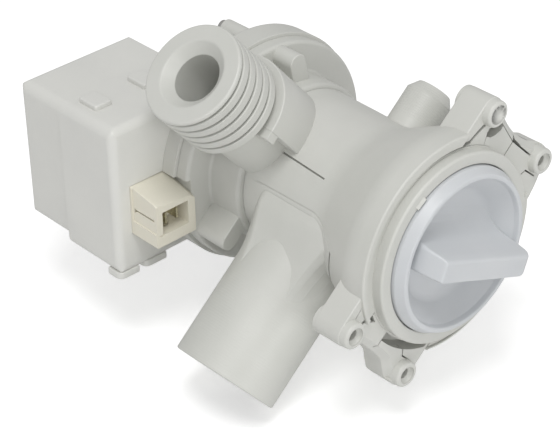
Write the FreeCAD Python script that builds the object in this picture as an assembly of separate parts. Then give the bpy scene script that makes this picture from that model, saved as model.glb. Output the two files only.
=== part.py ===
import FreeCAD, Part
import os
from math import cos, radians, sin

# A washing machine drain pump: a lint filter with a screw-in cap at the front, a hose stub,
# a ribbed outlet spout and a small side nozzle on its housing, and a wet-rotor motor behind.
# The shaft, the filter and the cap share the Y axis. Y = 0 is the plane of the four screw
# faces, -Y is the front, +Z is up. The housing is turned about Y, so that its hose stub
# points down and left: in the housing's own frame the stub is at -X and the spout at +Z.

# Fits between pieces
slip = 0.3
push = 0.05
running = 0.05
wet_gap = 1.0

# Housing
housing_turn = 40.6
tube_r = 29.6
tube_wall = 2.4
tube_rear = 72.0
collar_r = 35.8
collar_front = -3.0
collar_rear = 13.0
groove_width = 1.6
groove_rear = 11.0
drum_r = 41.0
drum_front = 1.0
drum_rear = 17.0
cone_rear = 31.0
edge_round = 0.8
index_tab_angle = 124.0
index_tab_wide = 5.0
index_tab_high = 2.2

# Screw ears on the housing
ear_span = 88.4
ear_pitch = 38.6
ear_boss_r = 5.3
ear_hole_r = 2.1
ear_depth = 14.0
ear_plate_front = 5.0
ear_plate_rear = 9.0
ear_plate_in = 10.2
ear_waist_r = 22.5
ear_waist_out = 0.4
ear_frame_front = 1.6
ear_frame_rear = 13.0
ear_side_thick = 2.0
gusset_root = 15.0
gusset_rear = 38.0
# Each bar of an ear's frame: how far inside the bosses' line it starts and ends, and its two sides
ear_bars = [
    (13.2, 5.4, 14.5, 24.6),
    (7.7, 1.8, -1.2, 8.5),
    (7.2, 1.2, -15.0, -2.0),
    (11.2, 4.7, -24.6, -16.0),
]

# Hose stub
stub_y = 50.1
stub_r = 20.0
stub_wall = 2.6
stub_reach = 79.5
stub_land = 52.5
stub_root_r = 19.7
saddle_half = 24.8
saddle_front = 24.6
saddle_rear = 71.0
saddle_root = 14.0
saddle_tip = 52.0
saddle_tip_half = 15.0
saddle_corner = 10.0

# Side nozzle
nozzle_y = 41.1
nozzle_r = 9.0
nozzle_bore_r = 4.6
nozzle_reach = 46.5
nozzle_chamfer_long = 3.8
nozzle_chamfer_deep = 2.6
nozzle_foot_r = 11.0
nozzle_foot_out = 1.9

# Outlet spout
spout_y = 74.0
spout_reach = 75.0
spout_r = 18.7
spout_core_r = 16.6
spout_neck_r = 14.6
spout_bore_r = 8.75
spout_mouth_r = 12.6
spout_funnel = 3.4
spout_lip = 1.8
lip_round = 0.8
rib_count = 5
rib_width = 3.35
rib_groove = 1.1
shroud_r = 20.5
shroud_top = 42.5
ledge_long = 8.0
ledge_wide = 3.9
ledge_drop = 3.0
branch_root = 20.7
pad_front = 39.0
pad_lift = 1.0
pad_aside = 0.6

# Pump chamber
chamber_step = 2.4
chamber_front = 63.0
chamber_wall = 2.0
disc_r = 43.0
disc_front = 87.0
disc_thick = 5.5
disc_round = 1.2
bracket_r = 44.3
bracket_thick = 11.0
eye_r = 11.0
lug_r = 3.65
lug_out = 37.6
lug_aside = 10.45
lug_first = 180.0
lug_count = 3
lug_front = 73.0
lug_rear = 116.0
seal_wire = 1.5
seal_seat_out = 3.15
seal_groove_wide = 2.4

# Rotor can and bearings
can_r = 12.6
can_wall = 1.0
can_rear = 148.0
can_flange_out = 1.7
can_flange = 1.5
plate_thick = 4.0
plate_hub_r = 6.5
plate_hub_rear = 103.0
bush_r = 4.0
rear_bush_long = 5.0

# Rotor
shaft_r = 2.0
shaft_front = 67.5
magnet_r = 10.4
magnet_front = 107.0
magnet_rear = 140.0
carrier_r = 5.0
washer_r = 5.0
washer_thick = 0.8
clip_r = 3.6
clip_thick = 0.8

# Impeller and its drive dog
impeller_r = 19.5
impeller_front = 69.5
vane_count = 6
vane_thick = 1.8
vane_rear = 84.0
shroud_thick = 1.8
hub_r = 8.0
dog_hub_r = 4.4
dog_key_r = 5.7
dog_room_r = 6.0
dog_front = 79.5
dog_long = 6.5
dog_angle = 40.0
dog_free_angle = 5.0
impeller_slip_angle = 270.0

# Filter cap, its grip and the lint filter
cap_step = 3.7
cap_bevel_in = 1.7
cap_crest = -7.5
cap_crest_wide = 1.6
cap_bevel = -4.0
cap_rim_in = 0.6
cap_dish_rim = -5.9
cap_dish_in = 2.6
cap_floor = 1.5
cap_floor_thick = 2.4
cap_skirt_rear = 11.5
cap_skirt_wall = 3.2
cap_inner_step = 2.0
spigot_rear = 22.0
spigot_wall = 4.0
seal_groove_front = 15.6
seal_groove_deep = 2.1
grip_turn = -22.3
grip_ridge = -17.0
grip_ridge_half = 2.6
grip_foot_half = 6.2
grip_foot_in = 2.7
grip_left_ramp = 6.7
grip_right_ramp = 2.6
grip_corner = 4.0
lug_pin_r = 1.6
lug_pin_in = 1.6
lug_pin_y = 3.5
lug_pin_count = 3
cap_turn_angle = 90.0
cap_travel = 7.0
basket_step = 0.9
basket_wall = 1.8
basket_front = 11.0
basket_rear = 61.0
basket_bars = 10
basket_slot = 7.0
basket_slot_front = 27.0
basket_slot_rear = 56.0
basket_window_r = 16.0

# Motor magnet core, coils and their cover
core_back = 29.5
core_thick = 24.0
core_bore_r = 13.2
core_leg_in = 7.5
core_leg_out = 18.0
core_yoke_left = 58.0
core_yoke_right = 48.0
core_pole_right = 15.0
core_pole_gap = 2.4
bobbin_left = 46.5
bobbin_right = 15.5
bobbin_wall = 1.0
bobbin_flange = 1.2
winding_thick = 5.2
cover_left = 64.0
cover_right = 13.4
cover_half = 28.4
cover_sunk = 4.5
cover_split_back = 1.0
cover_end = 25.5
cover_wall = 1.6
sleeve_out = 1.8
cover_round = 3.0
clip_wide = 7.0
clip_high = 2.2
clip_long = 9.0
clip_aside = 4.0
clip_pitch = 22.0
clip_seam = 6.0
clip_count = 2

# Plug socket on the coil cover
socket_left = 59.1
socket_right = 41.0
socket_top = 5.4
socket_roof_drop = 2.9
socket_bottom = -14.4
socket_out = 14.0
socket_in = 8.0
socket_wall = 3.0
socket_mouth_high = 9.4
socket_mouth_deep = 9.0
socket_line_in = 1.6
socket_line_long = 9.4
socket_line = -3.5
socket_line_wide = 0.8
blade_thick = 0.8
blade_wide = 4.4
blade_gap = 5.0
blade_short = 2.5
blade_out = 1.0

# Motor screws
screw_r = 1.5
screw_head_r = 2.6
screw_head = 2.0
screw_socket_r = 1.3
screw_tip = 78.0

Y_AXIS = FreeCAD.Vector(0, 1, 0)
ORIGIN = FreeCAD.Vector(0, 0, 0)
FULL_TURN = 360.0


# Basic shapes
def point(x, y, z):
    return FreeCAD.Vector(x, y, z)


def rod(r, front, rear, x=0.0, z=0.0):
    return Part.makeCylinder(r, rear - front, point(x, front, z), Y_AXIS)


def pipe(r_out, r_in, front, rear, x=0.0, z=0.0):
    return rod(r_out, front, rear, x, z).cut(rod(r_in, front - 1, rear + 1, x, z))


def rod_x(r, start, end, y, z=0.0):
    return Part.makeCylinder(r, end - start, point(start, y, z), FreeCAD.Vector(1, 0, 0))


def rod_z(r, start, end, y, x=0.0):
    return Part.makeCylinder(r, end - start, point(x, y, start), FreeCAD.Vector(0, 0, 1))


def block(x0, x1, y0, y1, z0, z1):
    return Part.makeBox(x1 - x0, y1 - y0, z1 - z0, point(x0, y0, z0))


def turned(profile, axis=Y_AXIS, centre=ORIGIN):
    """A closed profile of (radius, place along the axis) turned a full circle."""
    across = FreeCAD.Vector(1, 0, 0)
    corners = [centre + across * r + axis * along for r, along in profile]
    face = Part.Face(Part.makePolygon(corners + corners[:1]))
    return face.revolve(centre, axis, FULL_TURN)


def plate_xz(outline, front, rear):
    """A flat outline in X and Z, given a thickness along Y."""
    corners = [point(x, front, z) for x, z in outline]
    face = Part.Face(Part.makePolygon(corners + corners[:1]))
    return face.extrude(point(0, rear - front, 0))


def plate_xy(outline, low, high):
    """A flat outline in X and Y, given a thickness along Z."""
    corners = [point(x, y, low) for x, y in outline]
    face = Part.Face(Part.makePolygon(corners + corners[:1]))
    return face.extrude(point(0, 0, high - low))


def spun(shape, angle):
    """The shape turned about Y, anticlockwise as seen from the front."""
    copy = shape.copy()
    copy.rotate(ORIGIN, Y_AXIS, -angle)
    return copy


def tilted(shape):
    return spun(shape, housing_turn)


def joined(shapes):
    result = shapes[0]
    for shape in shapes[1:]:
        result = result.fuse(shape)
    return result.removeSplitter()


def sector(r_in, r_out, front, rear, angle, width):
    """Part of a pipe about Y: `width` degrees wide, centred on `angle`."""
    fan = [on_circle(r_out * 3, angle + width / 2 * share) for share in (-1, 0, 1)]
    return pipe(r_out, r_in, front, rear).common(plate_xz([(0, 0)] + fan, front, rear))


def on_circle(r, angle):
    return r * cos(radians(angle)), r * sin(radians(angle))


# Values that several pieces share
tube_bore_r = tube_r - tube_wall
chamber_r = tube_r + chamber_step
nozzle_foot_reach = tube_r + nozzle_foot_out
joint_y = disc_front + disc_thick
bracket_rear = joint_y + bracket_thick
cover_front = bracket_rear - cover_sunk
core_y = cover_front + core_back
cover_split = core_y + cover_split_back
cover_rear = core_y + cover_end
socket_front = cover_front - socket_out
socket_rear = cover_front + socket_in
cap_r = tube_bore_r + cap_step
cap_crest_r = cap_r - cap_bevel_in
cap_crest_inner_r = cap_crest_r - cap_crest_wide
cap_dish_rim_r = cap_crest_inner_r - cap_rim_in
cap_dish_r = cap_dish_rim_r - cap_dish_in
mouth_r = cap_r + slip
groove_r = collar_r + groove_width
ear_x = ear_span / 2
ear_z = ear_pitch / 2
ear_side = ear_z + ear_boss_r
rib_pitch = rib_width + rib_groove
ribs_low = spout_reach - spout_lip - rib_pitch * rib_count
stub_bore_r = stub_r - stub_wall
chamber_plug_r = tube_bore_r - push
cavity_r = chamber_plug_r - chamber_wall
seal_seat_r = cavity_r + seal_seat_out
can_flange_r = seal_seat_r + can_flange_out
can_bore_r = can_r - can_wall
flange_front = joint_y + push
flange_rear = flange_front + can_flange
plate_rear = joint_y
plate_front = plate_rear - plate_thick
bush_bore_r = shaft_r + running
spigot_r = tube_bore_r - slip
spigot_bore_r = spigot_r - spigot_wall
basket_r = spigot_bore_r - basket_step
grip_foot = cap_r - grip_foot_in
cap_seal_r = spigot_r + slip / 3
mouth_top = socket_top - socket_roof_drop - socket_wall
mouth_floor = mouth_top - socket_mouth_high
blade_low = mouth_floor + (socket_mouth_high - blade_wide) / 2
lug_angles = [lug_first + FULL_TURN * i / lug_count for i in range(lug_count)]
pin_angles = [index_tab_angle + FULL_TURN * i / lug_pin_count for i in range(lug_pin_count)]


# Housing, in its own frame until it is tilted
def ear_places():
    return [(side * ear_x, end * ear_z) for side in (-1, 1) for end in (-1, 1)]


def ear_block(side):
    """One ear: two screw bosses with a waisted plate between them and a frame round it."""
    root = ear_x - ear_plate_in
    plate = block(root, ear_x + ear_boss_r, ear_plate_front, ear_plate_rear, -ear_z, ear_z)
    plate = plate.cut(rod(ear_waist_r, 0, ear_depth, ear_x + ear_waist_out + ear_waist_r, 0))
    shapes = [plate]
    for start, end, low, high in ear_bars:
        shapes.append(block(ear_x - start, ear_x - end, ear_frame_front, ear_frame_rear, low, high))
    for end in (-1, 1):
        boss = rod(ear_boss_r, 0, ear_depth, ear_x, end * ear_z)
        wall = block(root, ear_x, ear_frame_front, ear_depth, ear_side - ear_side_thick, ear_side)
        shapes.append(boss)
        shapes.append(wall if end > 0 else wall.mirror(ORIGIN, FreeCAD.Vector(0, 0, 1)))
    gusset = [(gusset_root, ear_depth), (ear_x, ear_depth), (gusset_root, gusset_rear)]
    shapes.append(plate_xy(gusset, ear_side - ear_side_thick, ear_side))
    ear = joined(shapes)
    return ear if side > 0 else spun(ear, 180)


def index_tab():
    """The small wedge on the collar's face that marks where the cap is closed."""
    half = index_tab_wide / 2
    side = [
        point(mouth_r + push, collar_front + 1, -half),
        point(mouth_r + push, collar_front - index_tab_high, -half),
        point(mouth_r + index_tab_high, collar_front, -half),
        point(mouth_r + index_tab_high, collar_front + 1, -half),
    ]
    return Part.Face(Part.makePolygon(side + side[:1])).extrude(point(0, 0, index_tab_wide))


def filter_housing():
    profile = [
        (mouth_r, collar_front),
        (collar_r - edge_round, collar_front),
        (collar_r, collar_front + edge_round),
        (collar_r, groove_rear),
        (groove_r, groove_rear),
        (groove_r, drum_front),
        (drum_r - edge_round * 2, drum_front),
        (drum_r, drum_front + edge_round * 2),
        (drum_r, drum_rear),
        (tube_r, cone_rear),
        (tube_r, tube_rear),
        (tube_bore_r, tube_rear),
        (tube_bore_r, collar_rear + mouth_r - tube_bore_r),
        (mouth_r, collar_rear),
    ]
    body = turned(profile)
    pad = rod(tube_r, pad_front, tube_rear, pad_aside, pad_lift)
    pad = pad.cut(block(-tube_r * 2, -1, 0, tube_rear + 1, -tube_r * 2, tube_r * 2))
    body = body.fuse(pad.cut(rod(tube_bore_r + 1, 0, tube_rear + 1)))
    ear_gap = rod(groove_r, drum_front - 1, groove_rear).fuse(rod(tube_r, 0, gusset_rear))
    for side in (-1, 1):
        body = body.fuse(ear_block(side).cut(ear_gap).cut(saddle()))
    body = body.cut(rod(tube_bore_r, cone_rear, tube_rear + 1))
    for x, z in ear_places():
        body = body.cut(rod(ear_hole_r, -1, ear_depth + 1, x, z))
    body = body.cut(rod_x(stub_bore_r, -tube_r * 2, 0, stub_y))
    body = body.cut(rod_x(nozzle_bore_r, 0, tube_r * 2, nozzle_y))
    body = body.cut(rod_z(spout_bore_r, 0, tube_r * 2, spout_y))
    body = tilted(body.removeSplitter())
    for angle in pin_angles:
        body = body.fuse(spun(rod_x(lug_pin_r, mouth_r - lug_pin_in, mouth_r + 1, lug_pin_y), angle))
    return body.fuse(spun(index_tab(), index_tab_angle)).removeSplitter()


def tube_room():
    """What the side branches are cut back to: the housing's drum, cone and tube, and the chamber."""
    profile = [
        (0, 0),
        (drum_r + push, 0),
        (drum_r + push, drum_rear),
        (tube_r + push, cone_rear + push),
        (tube_r + push, tube_rear + push),
        (chamber_r + push, tube_rear + push),
        (chamber_r + push, disc_front - push),
        (bracket_r + push, disc_front - push),
        (bracket_r + push, bracket_rear),
        (0, bracket_rear),
    ]
    return turned(profile)


def raised_room():
    """The same, with the raised pad on the upper side of the tube."""
    return tube_room().fuse(rod(tube_r + push, pad_front - push, tube_rear + push, pad_aside, pad_lift))


def saddle():
    """The foot of the hose stub: a wedge that narrows from the tube to the stub."""
    def section(x, half, front, rear, corner):
        corners = [
            point(x, rear, -half),
            point(x, rear, half),
            point(x, front + corner, half),
            point(x, front, half - corner / 3),
            point(x, front, corner / 3 - half),
            point(x, front + corner, -half),
        ]
        return Part.makePolygon(corners + corners[:1])
    tip_front = stub_y - saddle_tip_half
    tip_rear = stub_y + saddle_tip_half
    root = section(-saddle_root, saddle_half, saddle_front, saddle_rear, saddle_corner)
    tip = section(-saddle_tip, saddle_tip_half, tip_front, tip_rear, saddle_corner / 2)
    return Part.makeLoft([root, tip], True, True)


def inlet_stub():
    stub = rod_x(stub_r, -stub_reach, -saddle_root, stub_y)
    mouth = [e for e in stub.Edges if abs(e.CenterOfMass.x + stub_reach) < 1e-6]
    stub = stub.makeFillet(edge_round, mouth)
    stub = stub.cut(rod_x(stub_r + 1, -stub_land, 0, stub_y))
    root = rod_x(stub_root_r, -stub_land - 1, -saddle_root, stub_y)
    body = joined([saddle(), root, stub]).cut(tube_room())
    return tilted(body.cut(rod_x(stub_bore_r, -stub_reach - 1, 0, stub_y)))


def side_nozzle():
    outline = [
        (nozzle_bore_r, tube_r - 1),
        (nozzle_foot_r, tube_r - 1),
        (nozzle_foot_r, nozzle_foot_reach - 1),
        (nozzle_r, nozzle_foot_reach + 1),
        (nozzle_r, nozzle_reach - nozzle_chamfer_long),
        (nozzle_r - nozzle_chamfer_deep, nozzle_reach),
        (nozzle_bore_r, nozzle_reach),
    ]
    corners = [point(x, nozzle_y + r, 0) for r, x in outline]
    face = Part.Face(Part.makePolygon(corners + corners[:1]))
    body = face.revolve(point(0, nozzle_y, 0), FreeCAD.Vector(1, 0, 0), FULL_TURN)
    return tilted(body.cut(raised_room()))


def motor_lugs(front, rear, root):
    """The three lugs for the motor screws, each on a web that starts at the radius root."""
    lug = rod(lug_r, front, rear, lug_out, -lug_aside)
    web = block(root, lug_out, front, rear, -lug_aside - lug_r, -lug_aside + lug_r)
    return [spun(lug.fuse(web), angle) for angle in lug_angles]


def lug_bores(r, front, rear):
    return [spun(rod(r, front, rear, lug_out, -lug_aside), angle) for angle in lug_angles]


def pump_chamber():
    outer = [
        (0, chamber_front),
        (chamber_plug_r, chamber_front),
        (chamber_plug_r, tube_rear + push),
        (chamber_r, tube_rear + push),
        (chamber_r, disc_front),
        (disc_r - disc_round, disc_front),
        (disc_r, disc_front + disc_round),
        (disc_r, joint_y),
        (0, joint_y),
    ]
    body = turned(outer)
    for lug in motor_lugs(lug_front, joint_y, cavity_r + 1):
        body = body.fuse(lug)
    body = body.cut(rod(cavity_r, chamber_front + chamber_wall, joint_y + 1))
    body = body.cut(rod(eye_r, chamber_front - 1, chamber_front + chamber_wall + 1))
    body = body.cut(rod_z(spout_bore_r, 0, shroud_top + 1, spout_y))
    groove_half = seal_groove_wide / 2
    body = body.cut(pipe(seal_seat_r + groove_half, seal_seat_r - groove_half, joint_y - seal_wire, joint_y + 1))
    for bore in lug_bores(screw_r, screw_tip, joint_y + 1):
        body = body.cut(bore)
    return tilted(body).cut(socket_room(push)).removeSplitter()


def spout_shroud():
    """The half round wall that carries the spout on the side away from the hose stub."""
    wall = rod_z(shroud_r, branch_root, shroud_top, spout_y)
    wall = wall.cut(block(-shroud_r * 2, -1, 0, spout_y * 2, 0, shroud_top * 2))
    ledge = block(-1, ledge_wide - 1, spout_y - shroud_r - ledge_long / 2, spout_y, branch_root,
                  shroud_top - ledge_drop)
    return wall.fuse(ledge)


def outlet_spout():
    neck = rod_z(spout_neck_r, branch_root, ribs_low + 1, spout_y)
    core = rod_z(spout_core_r, ribs_low, spout_reach - 1, spout_y)
    lip = rod_z(spout_r, spout_reach - spout_lip, spout_reach, spout_y)
    rim = [e for e in lip.Edges if abs(e.CenterOfMass.z - spout_reach) < 1e-6]
    lip = lip.makeFillet(lip_round, rim)
    shapes = [neck, core, lip]
    for i in range(rib_count):
        low = ribs_low + rib_pitch * i
        shapes.append(rod_z(spout_r, low, low + rib_width, spout_y))
    shapes.append(spout_shroud())
    body = joined(shapes).cut(raised_room())
    funnel_low = spout_reach - spout_funnel
    funnel = Part.makeCone(spout_bore_r, spout_mouth_r, spout_funnel, point(0, spout_y, funnel_low))
    body = body.cut(funnel)
    return tilted(body.cut(rod_z(spout_bore_r, 0, spout_reach + 1, spout_y)))


# Chamber joint, rotor can and bearings
def chamber_seal():
    ring = Part.makeTorus(seal_seat_r, seal_wire / 2 - push, ORIGIN, Y_AXIS)
    ring.translate(point(0, joint_y - seal_wire / 2, 0))
    return ring


def rotor_can():
    profile = [
        (can_bore_r, flange_front),
        (can_flange_r, flange_front),
        (can_flange_r, flange_rear),
        (can_r, flange_rear),
        (can_r, can_rear),
        (0, can_rear),
        (0, can_rear - can_wall),
        (can_bore_r, can_rear - can_wall),
    ]
    return turned(profile)


def bearing_plate():
    profile = [
        (bush_r + push, plate_front),
        (cavity_r - push, plate_front),
        (cavity_r - push, plate_rear),
        (plate_hub_r, plate_rear),
        (plate_hub_r, plate_hub_rear),
        (bush_r + push, plate_hub_rear),
    ]
    return turned(profile)


def front_bush():
    return pipe(bush_r, bush_bore_r, plate_front, plate_hub_rear)


def rear_bush():
    rear = can_rear - can_wall - push
    return pipe(can_bore_r - push, bush_bore_r, rear - rear_bush_long, rear)


def motor_bracket():
    body = rod(bracket_r, joint_y + push, bracket_rear)
    for lug in motor_lugs(joint_y + push, lug_rear, can_flange_r):
        body = body.fuse(lug)
    body = body.cut(rod(can_flange_r + push, joint_y, flange_rear + push))
    body = body.cut(rod(can_r + push, joint_y, lug_rear))
    for bore in lug_bores(screw_r + slip, joint_y, lug_rear + 1):
        body = body.cut(bore)
    return tilted(body).cut(cover_room()).cut(socket_room(push)).removeSplitter()


def cover_room():
    """What the disc and its lugs leave free for the coil cover."""
    half = cover_half + sleeve_out + push
    return block(-cover_left * 2, push - cover_right, cover_front - push, cover_rear, -half, half)


def motor_screws():
    """One screw in each lug. The head lies on the lug's rear end, or in the cover's room on the disc."""
    screws = []
    for angle in lug_angles:
        under_cover = cos(radians(angle + housing_turn)) < -0.5
        head_front = cover_front if under_cover else lug_rear
        shank = rod(screw_r - push, screw_tip + 1, head_front, lug_out, -lug_aside)
        head = rod(screw_head_r, head_front, head_front + screw_head, lug_out, -lug_aside)
        socket = rod(screw_socket_r, head_front + screw_head / 2, head_front + screw_head + 1, lug_out, -lug_aside)
        screws.append(tilted(spun(shank.fuse(head).cut(socket).removeSplitter(), angle)))
    return Part.makeCompound(screws)


# Rotor
def rotor_shaft():
    return rod(shaft_r, shaft_front, can_rear - can_wall - push * 4)


def magnet_carrier():
    return pipe(carrier_r, shaft_r + push / 5, magnet_front, magnet_rear)


def rotor_magnet():
    return pipe(magnet_r, carrier_r + push / 5, magnet_front, magnet_rear)


def front_thrust_washer():
    front = plate_hub_rear + slip
    return pipe(washer_r, shaft_r + push / 5, front, front + washer_thick)


def rear_thrust_washer():
    rear = can_rear - can_wall - push - rear_bush_long - slip
    return pipe(washer_r, shaft_r + push / 5, rear - washer_thick, rear)


def retaining_clip():
    rear = impeller_front - slip
    return pipe(clip_r, shaft_r + push / 5, rear - clip_thick, rear)


def drive_dog():
    hub = pipe(dog_hub_r, shaft_r + push / 5, dog_front, dog_front + dog_long)
    key = sector(dog_hub_r - 1, dog_key_r, dog_front, dog_front + dog_long, 0, dog_angle)
    return hub.fuse(key).removeSplitter()


# Impeller
def impeller():
    stop_angle = FULL_TURN - impeller_slip_angle - dog_angle - 2 * dog_free_angle
    stop_middle = dog_angle / 2 + dog_free_angle + stop_angle / 2
    hub_rear = plate_front - slip * 2
    nose = rod(hub_r, impeller_front, hub_rear)
    disc = rod(impeller_r, vane_rear, vane_rear + shroud_thick)
    shapes = [nose, disc]
    for i in range(vane_count):
        vane = block(0, impeller_r, impeller_front, vane_rear, -vane_thick / 2, vane_thick / 2)
        shapes.append(spun(vane, FULL_TURN * i / vane_count))
    body = joined(shapes)
    body = body.cut(rod(shaft_r + running, impeller_front - 1, hub_rear + 1))
    body = body.cut(rod(dog_room_r, dog_front - slip, hub_rear + 1))
    stop = sector(dog_hub_r + slip, dog_room_r + 0.5, dog_front, hub_rear, -stop_middle, stop_angle)
    return body.fuse(stop).removeSplitter()


# Filter cap and lint filter
def helical_slot(angle):
    """The way of one housing pin in the cap's skirt, open at the skirt's rear end."""
    floor_r = mouth_r - lug_pin_in - slip
    half = lug_pin_r + slip
    corners = [
        point(floor_r, 0, -half),
        point(cap_r + 1, 0, -half),
        point(cap_r + 1, 0, half),
        point(floor_r, 0, half),
    ]
    profile = Part.makePolygon(corners + corners[:1])
    helix = Part.makeHelix(cap_travel * FULL_TURN / cap_turn_angle, cap_travel, cap_r)
    way = Part.Wire(helix.Edges).makePipeShell([profile], True, True)
    way.rotate(ORIGIN, FreeCAD.Vector(1, 0, 0), -90)
    way.translate(point(0, lug_pin_y, 0))
    closed_end = rod_x(half, floor_r, cap_r + 1, lug_pin_y)
    way_out = block(floor_r, cap_r + 1, lug_pin_y + cap_travel - half, spigot_rear, -half, half)
    return [spun(way, angle), spun(closed_end, angle), spun(way_out, angle - cap_turn_angle)]


def filter_cap():
    groove_rear_y = seal_groove_front + seal_wire * 2
    groove_floor_r = spigot_r - seal_groove_deep
    inside_r = cap_r - cap_skirt_wall
    profile = [
        (0, cap_floor),
        (cap_dish_r, cap_floor),
        (cap_dish_rim_r, cap_dish_rim),
        (cap_crest_inner_r, cap_crest),
        (cap_crest_r, cap_crest),
        (cap_r, cap_bevel),
        (cap_r, cap_skirt_rear),
        (spigot_r, cap_skirt_rear + cap_r - spigot_r),
        (spigot_r, seal_groove_front),
        (groove_floor_r, seal_groove_front),
        (groove_floor_r, groove_rear_y),
        (spigot_r, groove_rear_y),
        (spigot_r, spigot_rear),
        (spigot_bore_r, spigot_rear),
        (spigot_bore_r, cap_skirt_rear),
        (inside_r, cap_skirt_rear - cap_inner_step),
        (inside_r, cap_floor + cap_floor_thick),
        (0, cap_floor + cap_floor_thick),
    ]
    body = turned(profile)
    for angle in pin_angles:
        body = body.cut(helical_slot(angle))
    return body.removeSplitter()


def cap_grip():
    """The finger blade: a wedge with sloping sides, a ramp at its left end and a round right end."""
    right_top = grip_foot - grip_right_ramp
    side = [
        (-grip_foot, cap_floor),
        (grip_left_ramp - grip_foot, grip_ridge),
        (right_top - grip_corner, grip_ridge),
        (right_top, grip_ridge + grip_corner),
        (grip_foot, cap_floor),
    ]
    corners = [point(x, y, -grip_foot_half) for x, y in side]
    blade = Part.Face(Part.makePolygon(corners + corners[:1])).extrude(point(0, 0, grip_foot_half * 2))
    flank = [
        point(-grip_foot * 2, cap_floor, -grip_foot_half),
        point(-grip_foot * 2, cap_floor, grip_foot_half),
        point(-grip_foot * 2, grip_ridge, grip_ridge_half),
        point(-grip_foot * 2, grip_ridge, -grip_ridge_half),
    ]
    wedge = Part.Face(Part.makePolygon(flank + flank[:1])).extrude(point(grip_foot * 4, 0, 0))
    blade = blade.common(wedge)
    bowl = [
        (0, cap_floor + 1),
        (0, grip_ridge - 1),
        (grip_foot * 2, grip_ridge - 1),
        (grip_foot * 2, cap_crest - push),
        (cap_crest_inner_r, cap_crest - push),
        (cap_dish_rim_r - push, cap_dish_rim),
        (cap_dish_r - push, cap_floor),
        (cap_dish_r - push, cap_floor + 1),
    ]
    return spun(blade.common(turned(bowl)), grip_turn)


def cap_seal():
    middle = seal_groove_front + seal_wire
    wire_r = (cap_seal_r - spigot_r + seal_groove_deep) / 2 - push
    ring = Part.makeTorus(cap_seal_r - wire_r, wire_r, ORIGIN, Y_AXIS)
    ring.translate(point(0, middle, 0))
    return ring


def lint_filter():
    body = pipe(basket_r, basket_r - basket_wall, basket_front, basket_rear)
    floor = pipe(basket_r, eye_r / 2, basket_rear - basket_wall, basket_rear)
    body = body.fuse(floor)
    collar = pipe(spigot_bore_r - push, basket_r - basket_wall, basket_front, spigot_rear)
    body = body.fuse(collar).removeSplitter()
    for i in range(basket_bars):
        gap = block(basket_r / 2, basket_r * 2, basket_slot_front, basket_slot_rear, -basket_slot / 2, basket_slot / 2)
        body = body.cut(spun(gap, FULL_TURN * i / basket_bars))
    window = rod_x(basket_window_r, -basket_r * 2, 0, stub_y - basket_wall * 4)
    return body.cut(spun(window, housing_turn))


# Magnet core and coils
def lamination_stack():
    front = core_y - core_thick / 2
    rear = core_y + core_thick / 2
    legs = [block(-core_yoke_left, core_pole_right, front, rear, low, high)
            for low, high in ((core_leg_in, core_leg_out), (-core_leg_out, -core_leg_in))]
    yoke = block(-core_yoke_left, -core_yoke_right, front, rear, -core_leg_out, core_leg_out)
    poles = [block(-core_bore_r, core_pole_right, front, rear, core_pole_gap / 2, core_leg_out),
             block(-core_bore_r, core_pole_right, front, rear, -core_leg_out, -core_pole_gap / 2)]
    body = joined(legs + [yoke] + poles)
    return body.cut(rod(core_bore_r, front - 1, rear + 1)).removeSplitter()


def coil_bobbin(side):
    """A spool round one leg of the core."""
    front = core_y - core_thick / 2 - push
    rear = core_y + core_thick / 2 + push
    low = core_leg_in - push
    high = core_leg_out + push
    wall = bobbin_wall
    reach = wall + winding_thick
    core = block(-bobbin_left, -bobbin_right, front - wall, rear + wall, low - wall, high + wall)
    ends = []
    for x in (-bobbin_left, -bobbin_right - bobbin_flange):
        ends.append(block(x, x + bobbin_flange, front - reach, rear + reach, low - reach, high + reach))
    body = joined([core] + ends)
    body = body.cut(block(-bobbin_left - 1, -bobbin_right + 1, front, rear, low, high))
    return body if side > 0 else spun(body, 180).mirror(ORIGIN, FreeCAD.Vector(1, 0, 0))


def coil_winding(side):
    front = core_y - core_thick / 2 - push * 2 - bobbin_wall
    rear = core_y + core_thick / 2 + push * 2 + bobbin_wall
    low = core_leg_in - push * 2 - bobbin_wall
    high = core_leg_out + push * 2 + bobbin_wall
    out = winding_thick - slip
    left = -bobbin_left + bobbin_flange + push
    right = -bobbin_right - bobbin_flange - push
    body = block(left, right, front - out, rear + out, low - out, high + out)
    along_x = [e for e in body.Edges if abs(e.BoundBox.XLength - (right - left)) < 1e-6]
    body = body.makeFillet(out / 2, along_x)
    body = body.cut(block(left - 1, right + 1, front, rear, low, high))
    return body if side > 0 else spun(body, 180).mirror(ORIGIN, FreeCAD.Vector(1, 0, 0))


def cover_shell(front, rear, out, open_rear):
    """One half of the coil cover: a box with one open side along Y."""
    left = -cover_left - out
    right = -cover_right
    half = cover_half + out
    body = block(left, right, front, rear, -half, half)
    closed = front if open_rear else rear
    rounded = []
    for edge in body.Edges:
        box = edge.BoundBox
        upright = box.YLength < 1e-6 and abs(box.YMin - closed) < 1e-6
        along = box.YLength > 1e-6 and abs(box.XMin - left) < 1e-6
        if upright or along:
            rounded.append(edge)
    body = body.makeFillet(cover_round, rounded)
    inner_front = front + cover_wall if open_rear else front - 1
    inner_rear = rear + 1 if open_rear else rear - cover_wall
    room = block(left + cover_wall, right - cover_wall, inner_front, inner_rear, cover_wall - half, half - cover_wall)
    body = body.cut(room)
    leg_room = core_leg_out + push
    gap = block(right - cover_wall - 1, right + 1, core_y - core_thick / 2 - push, core_y + core_thick / 2 + push, -leg_room, leg_room)
    return body.cut(gap)


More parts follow.
